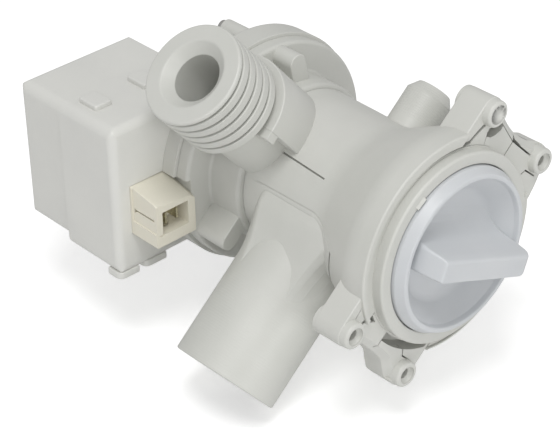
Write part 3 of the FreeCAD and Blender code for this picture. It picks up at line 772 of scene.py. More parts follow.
@dataclass
class Ear:
    """One of the two ears: two screw bosses in a thick plate, its front parted by narrow slots.

    Outlines lie in the ear's own frame: u runs out from the main axis, s along the tangent.
    """

    turned: bool
    waist: Outline
    slots: Sequence[Slot]
    pockets: Sequence[Outline]
    opened: tuple[float, float]
    web: Outline = ()
    gap: tuple[float, float] | None = None
    gap_r: float = 39.7
    hollow: Outline = ((40.6, 11.0), (42.4, 1.5), (42.4, -9.0), (39.0, -12.5), (37.0, -9.0),
                       (37.0, 9.0))
    hollow_front: float = 10.0
    inner_r: float = 36.4
    outer: float = 46.0
    boss_u: float = 44.2
    boss_s: float = 19.3
    boss_r: float = 5.3
    hole_r: float = 2.1
    depth: float = 14.0
    front: float = 1.5
    rear: float = 13.0
    root: float = 29.0
    slant: float = 2.4
    slant_rise: float = 1.1
    slant_front: float = -4.0
    edge: float = 0.45

    def axes(self) -> Axes:
        """The ear's frame: the second ear's is turned half a circle."""
        return TILTED.spun(180) if self.turned else TILTED

    def curve(self) -> list[Point]:
        """The plate's outer line between the bosses, smoothed through its given points.

        Returns:
            The line's points.
        """
        points = [Vector(p) for p in self.waist]
        ends = [points[0] * 2 - points[1]] + points + [points[-1] * 2 - points[-2]]
        made = []
        for i in range(1, len(ends) - 2):
            a, b, c, d = ends[i - 1:i + 3]
            for step in range(5):
                t = step / 5
                made.append(tuple(((b * 2) + (c - a) * t + (a * 2 - b * 5 + c * 4 - d) * t ** 2
                                   + (b * 3 - a - c * 3 + d) * t ** 3) / 2))
        return made + [tuple(points[-1])]

    def around(self, end: int, first: float, last: float) -> list[Point]:
        """Points on the edge of one boss between two angles."""
        angles = (math.radians(first + (last - first) * i / 8) for i in range(9))
        return [(self.boss_u + self.boss_r * math.cos(a),
                 end * self.boss_s + self.boss_r * math.sin(a)) for a in angles]

    def slant_tool(self, line: Outline) -> bpy.types.Object:
        """The shape that slants the plate's outer edge.

        Args:
            line: the plate's outer line.

        Returns:
            The shape to cut away.
        """
        axes = self.axes()
        rise = self.front + (self.slant + 1.0) * self.slant_rise
        loops = []
        for i, here in enumerate(line):
            ahead = Vector(line[min(i + 1, len(line) - 1)]) - Vector(line[max(i - 1, 0)])
            out = Vector((-ahead.y, ahead.x)).normalized()
            near, far = Vector(here) - out * self.slant, Vector(here) + out
            loops.append([axes.at(*near, self.front), axes.at(*far, rise),
                          axes.at(*far, self.slant_front), axes.at(*near, self.slant_front)])
        return loft("slant", loops)

    def plate(self) -> bpy.types.Object:
        """The thick plate with its slanted outer edge, slots and cavities.

        Returns:
            The plate.
        """
        axes = self.axes()
        side = self.boss_s + self.boss_r
        line = self.curve()
        lower = list(self.web) if self.web else [(self.root, -side)]
        outline = ([(self.root, side)] + self.around(1, 90, 0) + line
                   + self.around(-1, 0, -90) + lower)
        plate = eased(prism("plate", axes, outline, self.front, self.rear), self.edge)
        tools = [self.slant_tool(line)]
        start = self.front - 3
        for slot in self.slots:
            for a, b in zip(slot.points, slot.points[1:]):
                way = (Vector(b) - Vector(a)).normalized()
                off = Vector((-way.y, way.x)) * slot.wide / 2
                far, near = Vector(b) + way * slot.wide / 2, Vector(a) - way * slot.wide / 2
                box = [tuple(near - off), tuple(far - off), tuple(far + off), tuple(near + off)]
                tools.append(prism("slot", axes, box, start, self.front + slot.deep))
        for pocket in self.pockets:
            tools.append(prism("pocket", axes, pocket, start, self.rear - 2))
        hollow = rounded(self.hollow, 1.0, 4)
        tools.append(prism("hollow", axes, hollow, self.hollow_front, self.depth + 1))
        return combine(plate, tools, Cut.AWAY)

    def block(self, name: str, inner: float, sides: tuple[float, float], front: float,
              rear: float) -> bpy.types.Object:
        """A block across the ear, from an inner distance to beyond its outer line.

        Args:
            name: the object's name.
            inner: its distance from the main axis.
            sides: its lower and upper side.
            front: where it starts along the main axis.
            rear: where it ends.

        Returns:
            The block.
        """
        low, high = sides
        corners = [(inner, low), (self.outer, low), (self.outer, high), (inner, high)]
        return prism(name, self.axes(), corners, front, rear)

    def sector(self) -> bpy.types.Object:
        """The part of the drum's front that gives way to the ear's bars.

        Returns:
            The shape to cut out of the drum.
        """
        block = self.block("sector", 24.0, self.opened, -0.5, 9.5)
        return combine(block, [rod("keep", MAIN, self.inner_r, -2, 12, segments=160)], Cut.AWAY)

    def build(self) -> bpy.types.Object:
        """Builds the ear.

        Returns:
            The ear as one object.
        """
        axes = self.axes()
        ear = self.plate()
        radius = self.boss_r - 0.12
        nose = rounded([(0, -1.5), (radius - 0.4, -1.5), (radius, 3.0), (0, 3.0)], [0, 1.0, 0, 0])
        back = [(0, 11.0), (radius, 11.0), (radius, self.depth), (0, self.depth)]
        hole = rounded([(0, -3), (3.3, -3), (3.3, -0.9), (2.9, -0.2), (self.hole_r, 0.4),
                        (self.hole_r, 20), (0, 20)], [0, 0, 0.2, 0.3, 0.2, 0, 0], 4)
        bosses, holes = [], []
        for end in (-1, 1):
            centre = axes.across * self.boss_u + axes.over * (end * self.boss_s)
            own = Axes(axes.across, axes.over, axes.along, centre)
            bosses += [lathe("boss", own, nose, 56), lathe("boss", own, back, 56)]
            holes.append(lathe("hole", own, hole, 56))
        combine(ear, bosses, Cut.JOIN)
        combine(ear, holes, Cut.AWAY)
        if self.gap:
            wide = self.block("gap", 26.0, self.gap, -3.0, 10.5)
            combine(wide, [rod("gap", MAIN, self.gap_r, -4, 12, segments=160)], Cut.KEEP)
            combine(ear, [wide], Cut.AWAY)
        room = [(0, -5), (self.inner_r, -5), (self.inner_r, 11.0), (28.8, 11.0), (28.8, 60),
                (0, 60)]
        return combine(ear, [lathe("room", MAIN, room, 160)], Cut.AWAY)


UPPER_EAR = Ear(
    turned=False,
    opened=(-24.4, 24.4),
    waist=((49.0, 15.2), (47.4, 10.6), (46.2, 5.6), (45.5, -0.6), (45.9, -6.2), (47.2, -12.0),
           (49.4, -17.0)),
    slots=(Slot(((25.4, 26.4), (31.2, 20.8), (36.2, 19.6), (39.6, 18.6)), 1.4, 10.0),
           Slot(((33.0, 12.4), (38.2, 15.1)), 0.35, 3.0),
           Slot(((43.8, 9.4), (42.2, -0.4)), 0.3, 2.5),
           Slot(((35.8, -0.7), (42.4, -0.6)), 0.7),
           Slot(((42.4, -0.6), (43.4, -15.9)), 0.7),
           Slot(((36.2, -15.8), (38.2, -16.8), (39.0, -23.0)), 0.6)),
    web=((37.1, -27.1), (32.4, -28.0), (29.0, -28.2)),
    pockets=(((36.7, 14.4), (37.5, 12.0), (39.4, 10.4), (42.0, 9.2), (43.9, 9.6), (44.4, 11.6),
              (42.0, 13.2), (39.4, 15.4)),
             ((42.2, -0.5), (43.4, 1.0), (43.3, -6.0), (42.5, -6.0))))
LOWER_EAR = Ear(
    turned=True,
    opened=(-14.4, 24.4),
    gap=(-1.3, 23.0),
    waist=((49.2, 16.0), (47.3, 12.2), (44.9, 8.2), (44.3, 3.0), (44.2, -2.0), (44.3, -7.0),
           (45.2, -11.2), (47.6, -15.6)),
    slots=(Slot(((34.4, -14.4), (39.1, -16.2)), 1.2),
           Slot(((35.6, -21.1), (39.5, -20.8)), 0.35, 3.0),
           Slot(((36.7, -1.3), (42.8, -1.5)), 0.5),
           Slot(((36.7, 11.7), (39.6, 14.5), (39.3, 19.6)), 0.5, 4.0)),
    pockets=(((34.6, -14.2), (36.0, -10.4), (38.6, -15.4)),))


@dataclass
class Housing:
    """The tube with its collar, drum and ears, all one moulding with the chamber behind."""

    mouth_r: float = 31.2
    collar_r: float = 35.8
    collar_front: float = -3.0
    groove_r: float = 38.7
    groove_centre: Point = (-1.2, -0.8)
    groove_floor: float = 1.2
    slit: float = 0.6
    slit_shift: float = 0.3
    slit_rear: float = 9.0
    drum_r: float = 41.0
    drum_front: float = 0.4
    drum_rear: float = 9.0
    bell_rear: float = 34.0
    tube_r: float = 29.6
    bore_r: float = 27.2
    tube_rear: float = 72.0
    skin_r: float = 28.4
    pad_front: float = 38.0
    pad_start: float = -80.0
    pad_thick: float = 0.03
    line: float = 0.35
    wide_line: float = 0.8
    foot_line: Outline = ((66.0, 25.2), (34.0, 25.2), (22.6, 24.6), (23.6, 20.0), (25.2, 13.7),
                          (29.0, 5.5))
    tab_angle: float = 124.0
    tab_half: float = 2.3
    pin_r: float = 1.6
    pin_y: float = 3.5
    pin_ends: tuple[float, float] = (29.65, 31.6)

    def shell(self) -> bpy.types.Object:
        """The turned part: collar, groove, drum, bell and tube, with the three side openings.

        Returns:
            The shell.
        """
        profile = rounded(
            [(self.mouth_r, self.collar_front), (self.collar_r, self.collar_front),
             (self.collar_r, self.drum_front), (self.drum_r, self.drum_front),
             (self.drum_r, self.drum_rear), (self.tube_r, self.bell_rear),
             (self.tube_r, self.tube_rear), (self.bore_r, self.tube_rear),
             (self.bore_r, 16.0), (self.mouth_r, 13.0)],
            [0.6, 0.9, 0, 0.7, 16.0, 22.0, 0.3, 0.3, 0, 0], 8)
        shell = lathe("housing_shell", MAIN, profile, 192)
        centre = self.groove_centre
        shifted = (centre[0] - self.slit_shift, centre[1] - self.slit_shift)
        groove = rod("groove", TILTED, self.groove_r, -1.0, self.groove_floor, centre, 180)
        combine(groove, [rod("keep", MAIN, self.collar_r, -2.0, 12.0, segments=192)], Cut.AWAY)
        slit = rod("slit", TILTED, self.groove_r, -1.1, self.slit_rear, centre, 180)
        kept = rod("keep", TILTED, self.groove_r - self.slit, -2.0, 12.0, shifted, 180)
        combine(slit, [kept], Cut.AWAY)
        tools = [groove, slit, UPPER_EAR.sector(), LOWER_EAR.sector(), *self.lines(),
                 rod("way", STUB_AXES, STUB_BORE, 5, 60, segments=96),
                 rod("way", NOZZLE_AXES, NOZZLE_BORE, 5, 60),
                 rod("way", SPOUT_AXES, SPOUT_BORE, 5, 60)]
        return combine(shell, tools, Cut.AWAY)

    def lines(self) -> list[bpy.types.Object]:
        """The fine dark lines along the pad's edge and round the foot of the hose stub.

        Returns:
            The shapes to cut out of the tube's skin.
        """
        loops = []
        half = math.degrees(self.line / self.tube_r)
        for y, angle in ((self.pad_front, 97.9), (self.tube_rear + 1.0, 93.5)):
            low, high = math.radians(angle - half), math.radians(angle + half)
            loops.append([TILTED.at(r * math.cos(a), r * math.sin(a), y)
                          for r, a in ((28.3, low), (33.0, low), (33.0, high), (28.3, high))])
        made = [loft("line", loops)]
        shift = Vector((-STUB_Y, 0.0))
        for i, (a, b) in enumerate(zip(self.foot_line, self.foot_line[1:])):
            wide = self.line if i < 2 else self.wide_line
            way = (Vector(b) - Vector(a)).normalized()
            off = Vector((-way.y, way.x)) * wide / 2
            first, last = Vector(a) + shift, Vector(b) + shift
            box = [tuple(p) for p in (first - off, last - off, last + off, first + off)]
            slit = prism("slit", STUB_AXES, box, 8.0, 44.0)
            made.append(combine(slit, [tube_room(self.skin_r)], Cut.AWAY))
        return made

    def pad(self) -> bpy.types.Object:
        """The raised skin on the upper side of the tube, whose edge shows as a fine line.

        Returns:
            The pad.
        """
        loops = []
        steps, inner_r = 40, 28.0
        for y, last, rise in ((self.pad_front, 97.5, 0.04), (self.tube_rear, 93.2, 1.1)):
            turn = last - self.pad_start
            arc = [math.radians(self.pad_start + turn * i / steps) for i in range(steps + 1)]
            outer = [self.tube_r + (self.pad_thick + rise * i / steps) for i in range(steps + 1)]
            ends = list(zip(outer, arc)) + [(inner_r, a) for a in reversed(arc)]
            loops.append([TILTED.at(r * math.cos(a), r * math.sin(a), y) for r, a in ends])
        return eased(loft("pad", loops), 0.15, 2, 60)

    def tab(self) -> bpy.types.Object:
        """The small wedge on the collar that marks where the cap is closed.

        Returns:
            The wedge.
        """
        axes = MAIN.spun(self.tab_angle)
        side = Axes(axes.across, axes.along, axes.over)
        corners = rounded([(31.25, -2.0), (31.25, -4.2), (32.8, -2.9), (32.8, -2.0)],
                          [0, 0.4, 0.2, 0], 3)
        return eased(prism("tab", side, corners, -self.tab_half, self.tab_half), 0.25, 2)

    def pins(self) -> list[bpy.types.Object]:
        """The three pins in the mouth that the cap's slots run on.

        Returns:
            The pins.
        """
        inner, outer = self.pin_ends
        profile = rounded([(0, inner), (self.pin_r, inner), (self.pin_r, outer), (0, outer)],
                          [0, 0.3, 0, 0], 3)
        made = []
        for i in range(3):
            axes = MAIN.spun(self.tab_angle + 120 * i)
            side = Axes(axes.along, axes.over, axes.across, Vector((0, self.pin_y, 0)))
            made.append(lathe("pin", side, profile, 32))
        return made

    def build(self) -> None:
        """Builds and places the housing."""
        ears = [UPPER_EAR.build(), LOWER_EAR.build()]
        parts = [self.shell(), self.pad(), self.tab(), *self.pins(), *ears]
        whole = gathered("filter_housing_body", parts)
        smoothed(whole)
        place_on(whole, "pump_body", Finish.HOUSING, ["filter_housing"])


@dataclass
class HoseStub:
    """The large hose stub with its wedge-shaped foot."""

    radius: float = 20.0
    bore_r: float = STUB_BORE
    reach: float = 79.5
    side: Outline = ((12.0, 24.8), (-25.6, 24.8), (-27.3, 21.5), (-25.0, 13.7), (-21.2, 5.5),
                     (-20.2, 0.0))
    rear: float = 17.0
    rear_half: float = 18.5
    stations: Sequence[tuple[float, float]] = (
        (14.0, 1.0), (20.0, 0.92), (24.0, 0.74), (28.0, 0.52), (32.0, 0.32), (36.0, 0.16),
        (41.0, 0.05), (47.0, 0.0))
    seat: Outline = ((0, -5), (41.0, -5), (41.0, 18.5), (29.7, 30.0), (29.7, 72.05), (32.05, 72.05),
                     (32.05, 86.95), (0, 86.95))

    def section(self, at: float, grown: float) -> list[Vector]:
        """One section of the foot, between its full outline and the round of the stub.

        Args:
            at: how far along the stub it lies.
            grown: 1 for the full outline, 0 for the round.

        Returns:
            The section's points in metres.
        """
        mirrored = [(y, -s) for y, s in reversed(self.side[:-1])]
        outline = rounded(
            [(17.4, 0.0), (self.rear, self.rear_half), *self.side, *mirrored,
             (self.rear, -self.rear_half)],
            [0, 5.0, 4.0, 1.2, 2.5, 4.0, 4.0, 0, 4.0, 4.0, 2.5, 1.2, 4.0, 5.0], 4)
        made = []
        for y, s in outline:
            share = grown + (1 - grown) * (self.radius - 0.3) / math.hypot(y, s)
            made.append(STUB_AXES.at(y * share, s * share, at))
        return made

    def build(self) -> None:
        """Builds and places the stub."""
        foot = loft("foot", [self.section(*station) for station in self.stations])
        profile = rounded([(self.bore_r, 5.0), (self.radius, 5.0), (self.radius, self.reach),
                           (self.bore_r, self.reach)], [0, 0, 0.8, 0.5], 4)
        tube = lathe("tube", STUB_AXES, profile, 160)
        way = rod("way", STUB_AXES, self.bore_r + 0.2, 0, 100, segments=96)
        combine(foot, [way, lathe("room", MAIN, self.seat, 128)], Cut.AWAY)
        combine(tube, [tube_room(27.6, segments=128)], Cut.AWAY)
        whole = gathered("inlet_stub_body", [foot, tube])
        smoothed(whole)
        place_on(whole, "pump_body", Finish.STUB, ["inlet_stub"])


@dataclass
class SideNozzle:
    """The small nozzle behind the upper right ear."""

    radius: float = 9.0
    bore_r: float = NOZZLE_BORE
    root: float = 27.0
    reach: float = 46.5
    tip: float = 3.8
    tip_in: float = 2.6

    def build(self) -> None:
        """Builds and places the nozzle."""
        profile = rounded(
            [(self.bore_r, self.root), (self.radius, self.root),
             (self.radius, self.reach - self.tip), (self.radius - self.tip_in, self.reach),
             (self.bore_r, self.reach)],
            [0, 0, 0.8, 0.5, 0.4], 4)
        whole = lathe("side_nozzle_body", NOZZLE_AXES, profile, 96)
        combine(whole, [tube_room(28.4, segments=128)], Cut.AWAY)
        smoothed(whole)
        place_on(whole, "pump_body", Finish.NOZZLE, ["side_nozzle"])


@dataclass
class Spout:
    """The ribbed outlet spout with the half round wall at its foot."""

    radius: float = 18.7
    core_r: float = 16.6
    neck_r: float = 14.6
    bore_r: float = SPOUT_BORE
    mouth_r: float = 12.6
    funnel: float = 3.4
    reach: float = 75.0
    lip: float = 1.8
    ribs: int = 5
    rib_width: float = 3.35
    groove: float = 1.1
    root: float = 24.0
    room_r: float = 28.6
    room_rear: float = 120.0
    shroud_r: float = 20.9
    shroud_root: float = 22.0
    shroud_top: float = 48.5
    ledge: Outline = ((-4.2, -20.6), (3.0, -20.6), (3.0, -12.0), (-4.2, -12.0))
    ledge_ends: tuple[float, float] = (43.5, 48.1)

    def profile(self) -> list[Point]:
        """The spout's section from its foot over the ribs and lip and down the bore.

        Returns:
            The closed profile.
        """
        pitch = self.rib_width + self.groove
        lowest = self.reach - self.lip - pitch * self.ribs
        points: list[Point] = [(self.bore_r, self.root), (self.neck_r, self.root)]
        sizes: list[float] = [0, 0]
        for i in range(self.ribs):
            low = lowest + pitch * i
            foot = self.core_r if i else self.neck_r
            points += [(foot, low), (self.radius, low), (self.radius, low + self.rib_width),
                       (self.core_r, low + self.rib_width)]
            sizes += [0.1, 0.45, 0.45, 0.1]
        points += [(self.core_r, self.reach - self.lip), (self.radius, self.reach - self.lip),
                   (self.radius, self.reach), (self.mouth_r, self.reach),
                   (self.bore_r, self.reach - self.funnel)]
        sizes += [0.1, 0.4, 1.3, 1.6, 0.5]
        return rounded(points, sizes)

    def shroud(self) -> bpy.types.Object:
        """The half round wall and the ledge on its front.

        Returns:
            The wall.
        """
        arc = [math.radians(a) for a in range(-90, 91, 5)]
        half = [(self.shroud_r * math.cos(a), self.shroud_r * math.sin(a)) for a in arc]
        outline = [(-1.0, -self.shroud_r)] + half + [(-1.0, self.shroud_r)]
        wall = prism("wall", SPOUT_AXES, outline, self.shroud_root, self.shroud_top)
        ledge = eased(prism("ledge", SPOUT_AXES, self.ledge, *self.ledge_ends), 0.3, 2)
        combine(eased(wall, 0.5), [tube_room(self.room_r, self.room_rear)], Cut.AWAY)
        return combine(wall, [ledge], Cut.JOIN)

    def build(self) -> None:
        """Builds and places the spout."""
        body = lathe("body", SPOUT_AXES, self.profile())
        combine(body, [tube_room(self.room_r, self.room_rear)], Cut.AWAY)
        wall = combine(self.shroud(), [rod("way", SPOUT_AXES, self.bore_r + 0.5, 0, 80)], Cut.AWAY)
        whole = gathered("outlet_spout_body", [body, wall])
        smoothed(whole)
        place_on(whole, "pump_body", Finish.HOUSING, ["outlet_spout"])


# ---------------------------------------------------------------- pump chamber and motor bracket

@dataclass
class MotorLugs:
    """The three lugs that the motor's screws go through."""

    radius: float = 3.65
    out: float = 37.6
    aside: float = 10.45
    first: float = 180.0
    edge: float = 0.45

    def build(self, fronts: Sequence[float], rears: Sequence[float],
              root: float) -> list[bpy.types.Object]:
        """Builds the lugs.

        Args:
            fronts: where each one starts.
            rears: where each one ends.
            root: the radius that their webs start at.

        Returns:
            The lugs.
        """
        arc = [math.radians(a) for a in range(-90, 91, 10)]
        nose = [(self.out + self.radius * math.cos(a), -self.aside + self.radius * math.sin(a))
                for a in arc]
        outline = [(root, -self.aside - self.radius), *nose, (root, -self.aside + self.radius)]
        made = []
        for i, (front, rear) in enumerate(zip(fronts, rears)):
            axes = TILTED.spun(self.first + 120 * i)
            made.append(eased(prism("lug", axes, outline, front, rear), self.edge))
        return made


@dataclass
class Chamber:
    """The stepped front half of the pump body behind the tube."""

    radius: float = 32.0
    plug_r: float = 27.15
    cavity_r: float = 25.15
    eye_r: float = 11.0
    front: float = 63.0
    step: float = 72.05
    disc_r: float = 43.0
    disc_front: float = 87.0
    joint: float = 92.5
    wall: float = 2.0
    lug_fronts: Sequence[float] = (73.0, 73.0, 77.4)

    def build(self) -> None:
        """Builds and places the chamber."""
        floor = self.front + self.wall
        profile = rounded(
            [(self.eye_r, self.front), (self.plug_r, self.front), (self.plug_r, self.step),
             (self.radius, self.step), (self.radius, self.disc_front),
             (self.disc_r, self.disc_front), (self.disc_r, self.joint),
             (self.cavity_r, self.joint), (self.cavity_r, floor), (self.eye_r, floor)],
            [0, 0, 0, 1.6, 1.2, 1.4, 0.2, 0.3, 1.0, 0])
        body = lathe("body", MAIN, profile, 168)
        combine(body, [rod("way", SPOUT_AXES, SPOUT_BORE, 12, 60),
                       prism("room", MAIN, SOCKET_ROOM, 80, 110)], Cut.AWAY)
        lugs = MotorLugs().build(self.lug_fronts, [self.joint] * 3, self.cavity_r + 1)
        whole = gathered("pump_chamber_body", [body] + lugs)
        smoothed(whole)
        place_on(whole, "pump_body", Finish.HOUSING, ["pump_chamber"])


@dataclass
class Bracket:
    """The disc that closes the chamber and carries the motor."""

    radius: float = 44.3
    front: float = 92.55
    rear: float = 103.5
    eye_r: float = 12.65
    recess_r: float = 30.05
    recess: float = 94.1
    lug_root: float = 30.1
    lug_rears: Sequence[float] = (98.9, 116.0, 116.0)
    motor_side: float = -13.35
    motor_half: float = 30.25
    motor_front: float = 98.95

    def build(self) -> None:
        """Builds and places the bracket."""
        profile = rounded(
            [(self.eye_r, self.recess), (self.recess_r, self.recess), (self.recess_r, self.front),
             (self.radius, self.front), (self.radius, self.rear), (self.eye_r, self.rear)],
            [0, 0, 0, 0.3, 1.6, 0.3])
        body = lathe("body", MAIN, profile, 168)
        motor = [(-120, -self.motor_half), (self.motor_side, -self.motor_half),
                 (self.motor_side, self.motor_half), (-120, self.motor_half)]
        combine(body, [prism("room", MAIN, motor, self.motor_front, 160),
                       prism("room", MAIN, SOCKET_ROOM, 80, 110)], Cut.AWAY)
        lugs = MotorLugs().build([self.front] * 3, self.lug_rears, self.lug_root)
        whole = gathered("motor_bracket_body", [body] + lugs)
        smoothed(whole)
        place_on(whole, "pump_body", Finish.HOUSING, ["motor_bracket"])


# ---------------------------------------------------------------- filter cap

@dataclass
class FilterCap:
    """The screw-in cap: a bevelled rim, a bowl and a finger blade across it."""

    radius: float = 30.9
    crest_r: float = 29.2
    crest_in_r: float = 27.6
    crest: float = -7.5
    floor_r: float = 20.4
    floor: float = 1.5
    slope: Point = (27.0, -5.6)
    skirt_r: float = 26.9
    skirt_bore: float = 22.9
    skirt_rear: float = 22.0
    ridge: float = -17.0
    grip_turn: float = -22.3
    left: float = 28.0
    left_top: float = 21.5
    right: float = 28.0
    right_top: float = 25.6
    nose_r: float = 4.0
    under: float = 5.2
    flare: float = 9.0
    pin_angle: float = 124.0
    pin_y: float = 3.5
    pin_room: float = 1.9
    travel: float = 7.0
    slot_ends: tuple[float, float] = (27.0, 31.5)

    def bowl(self) -> bpy.types.Object:
        """The rim and bowl with the skirt behind; the slots for the pins are cut in build.

        Returns:
            The turned part.
        """
        profile = rounded(
            [(0.0, self.floor), (self.floor_r, self.floor), self.slope,
             (self.crest_in_r, self.crest), (self.crest_r, self.crest), (self.radius, -4.0),
             (self.radius, 11.5), (self.skirt_r, 15.5), (self.skirt_r, self.skirt_rear),
             (self.skirt_bore, self.skirt_rear), (self.skirt_bore, 11.5), (27.7, 9.5), (27.7, 3.9),
             (0.0, 3.9)],
            [0, 4.0, 0.8, 0.6, 0.8, 1.2, 0, 0, 0.2, 0, 0, 0, 0.5, 0], 7)
        return lathe("bowl", MAIN, profile, 192)

    def level(self, y: float, half: float, spread: float, corner: float) -> list[Vector]:
        """One outline of the finger blade.

        Args:
            y: where it lies along the main axis.
            half: how far its upper side lies from the middle there.
            spread: how far both ends lie beyond the straight sides.
            corner: the rounding of its corners.

        Returns:
            The outline's points in metres.
        """
        share = (y - self.ridge) / (self.floor - self.ridge)
        left = self.left_top + (self.left - self.left_top) * share
        right = self.right_top + (self.right - self.right_top) * share
        if y < self.ridge + self.nose_r:
            drop = self.ridge + self.nose_r - y
            right += math.sqrt(max(self.nose_r ** 2 - drop ** 2, 0.0)) - self.nose_r
        low = -self.under - max(half - self.flare, 0.0)
        near, far = -left - spread, right + spread
        sharp = corner * 0.4
        outline = rounded([(near, low), (far, low), (far, half), (near, half)],
                          [sharp, corner, corner, sharp], 6)
        axes = MAIN.spun(self.grip_turn)
        return [axes.at(a, b, y) for a, b in outline]

    def grip(self) -> bpy.types.Object:
        """The finger blade, whose flanks flow into the bowl.

        Returns:
            The blade.
        """
        levels = [(-17.0, 1.3, -0.5, 0.8), (-16.85, 1.8, -0.25, 1.0), (-16.5, 2.3, -0.08, 1.2),
                  (-16.0, 2.6, 0.0, 1.4), (-14.6, 3.1, 0.0, 1.8), (-13.0, 3.45, 0.0, 2.2),
                  (-10.0, 4.0, 0.0, 2.8), (-7.0, 4.6, -0.6, 3.4), (-4.5, 5.3, -1.4, 3.8),
                  (-2.5, 6.2, -2.4, 4.2), (-1.0, 7.4, -3.4, 4.6), (0.2, 9.0, -4.2, 5.0),
                  (1.0, 11.2, -4.6, 5.4), (1.5, 14.0, -5.0, 6.0), (1.9, 15.0, -6.0, 6.0)]
        return loft("grip", [self.level(*each) for each in levels])

    def slot(self, angle: float) -> list[bpy.types.Object]:
        """The way of one pin in the skirt, which climbs as the cap turns.

        Args:
            angle: where the closed cap has the pin.

        Returns:
            The shape of the way, in three tools: the climb, its way out and its round end.
        """
        half = self.pin_room
        inner, outer = self.slot_ends
        steps = 18
        loops = []
        for i in range(steps + 1):
            axes = MAIN.spun(angle - 90 * i / steps)
            y = self.pin_y + self.travel * i / steps
            loops.append([axes.at(inner, 0, y - half), axes.at(outer, 0, y - half),
                          axes.at(outer, 0, y + half), axes.at(inner, 0, y + half)])
        mouth = [(inner, -half), (outer, -half), (outer, half), (inner, half)]
        way_out = prism("way", MAIN.spun(angle - 90), mouth, 8.6, 24.0)
        axes = MAIN.spun(angle)
        end = Axes(axes.along, axes.over, axes.across, Vector((0, self.pin_y, 0)))
        return [loft("way", loops), way_out, rod("way", end, half, inner, outer, segments=24)]

    def build(self) -> None:
        """Builds and places the cap."""
        grip = combine(self.grip(), [rod("room", MAIN, 27.3, -40, 40, segments=128)], Cut.KEEP)
        whole = combine(self.bowl(), [grip], Cut.JOIN)
        whole.name = "filter_cap_body"
        slots = [tool for i in range(3) for tool in self.slot(self.pin_angle + 120 * i)]
        combine(whole, slots, Cut.AWAY)
        smoothed(whole, 36)
        place_on(whole, "cap_insert", Finish.CAP, ["filter_cap", "cap_grip"])


# ---------------------------------------------------------------- coil cover and socket

@dataclass
class CoilCover:
    """The two-part cover round the coils, with its clips."""

    left: float = 64.0
    right: float = 13.4
    half: float = 28.4
    front: float = 99.0
    split: float = 128.5
    rear: float = 154.0
    wall: float = 1.6
    sleeve: float = 1.8
    corner: float = 4.0
    inner_corner: float = 1.2
    end_round: float = 3.2
    core_half: float = 18.1
    core_ends: tuple[float, float] = (116.4, 140.6)
    clip_lefts: tuple[float, float] = (-60.0, -38.0)
    clip_wide: float = 7.5
    clip_ends: tuple[float, float] = (114.0, 124.0)
    foot_sides: Outline = ((-65.8, -56.4), (-54.0, -43.6))
    foot_ends: tuple[float, float] = (99.1, 106.5)

    def shell(self, name: str, low: float, high: float, out: float,
              open_rear: bool) -> bpy.types.Object:
        """One half of the cover: a rounded box that is open on one side.

        Args:
            name: the object's name.
            low: its front.
            high: its rear.
            out: how far it stands outside the plain half.
            open_rear: whether its rear or its front is open.

        Returns:
            The shell.
        """
        left, right, half = -self.left - out, -self.right, self.half + out
        corners = [(left, -half), (right, -half), (right, half), (left, half)]
        inset = [(left + self.wall, self.wall - half), (right - self.wall, self.wall - half),
                 (right - self.wall, half - self.wall), (left + self.wall, half - self.wall)]
        radii = [self.corner, self.inner_corner, self.inner_corner, self.corner]
        outer = rounded(corners, radii, 6)
        closed, opened = (low, high) if open_rear else (high, low)
        step = 1 if open_rear else -1
        loops = [[MAIN.at(x, z, opened) for x, z in outer]]
        for i in range(7):
            turn = math.pi / 2 * i / 6
            shrink = self.end_round * (1 - math.cos(turn))
            level = closed + step * self.end_round * (1 - math.sin(turn))
            loops.append([MAIN.at(min(max(x, left + shrink), right - shrink * 0.4),
                                  min(max(z, shrink - half), half - shrink), level)
                          for x, z in outer])
        body = loft(name, loops)
        ends = (low + self.wall, high + 5) if open_rear else (low - 5, high - self.wall)
        core = [(-16.0, -self.core_half), (-12.0, -self.core_half), (-12.0, self.core_half),
                (-16.0, self.core_half)]
        return combine(body, [prism("room", MAIN, inset, *ends),
                              prism("gap", MAIN, core, *self.core_ends)], Cut.AWAY)

    def clips(self) -> list[bpy.types.Object]:
        """The raised clip blocks on the top and the bottom, and two at the lower front edge.

        Returns:
            The blocks.
        """
        made = []
        top = self.half + self.sleeve
        front, rear = self.clip_ends
        for left in self.clip_lefts:
            right = left + self.clip_wide
            outline = rounded([(left, front), (right, front), (right, rear), (left, rear)], 1.0, 3)
            for low, high in ((top - 0.5, top + 2.0), (-top - 2.0, 0.5 - top)):
                made.append(eased(prism("clip", UPRIGHT, outline, low, high), 0.7))
        front, rear = self.foot_ends
        for left, right in self.foot_sides:
            outline = rounded([(left, front), (right, front), (right, rear), (left, rear)],
                              [2.5, 0.8, 0.8, 0.8], 3)
            foot = prism("clip", UPRIGHT, outline, -top - 1.9, 1.0 - top)
            made.append(eased(foot, 0.5, 2))
        return made

    def build(self) -> None:
        """Builds and places both halves."""
        front = self.shell("front", self.front, self.split, self.sleeve, True)
        combine(front, [prism("room", MAIN, SOCKET_ROOM, 80, 107.05)], Cut.AWAY)
        whole = gathered("front_cover_body", [front] + self.clips())
        smoothed(whole)
        place_on(whole, "pump_body", Finish.COVER, ["front_cover"])
        rear = self.shell("rear_cover_body", self.split, self.rear, 0.0, False)
        smoothed(rear)
        place_on(rear, "pump_body", Finish.COVER, ["rear_cover"])


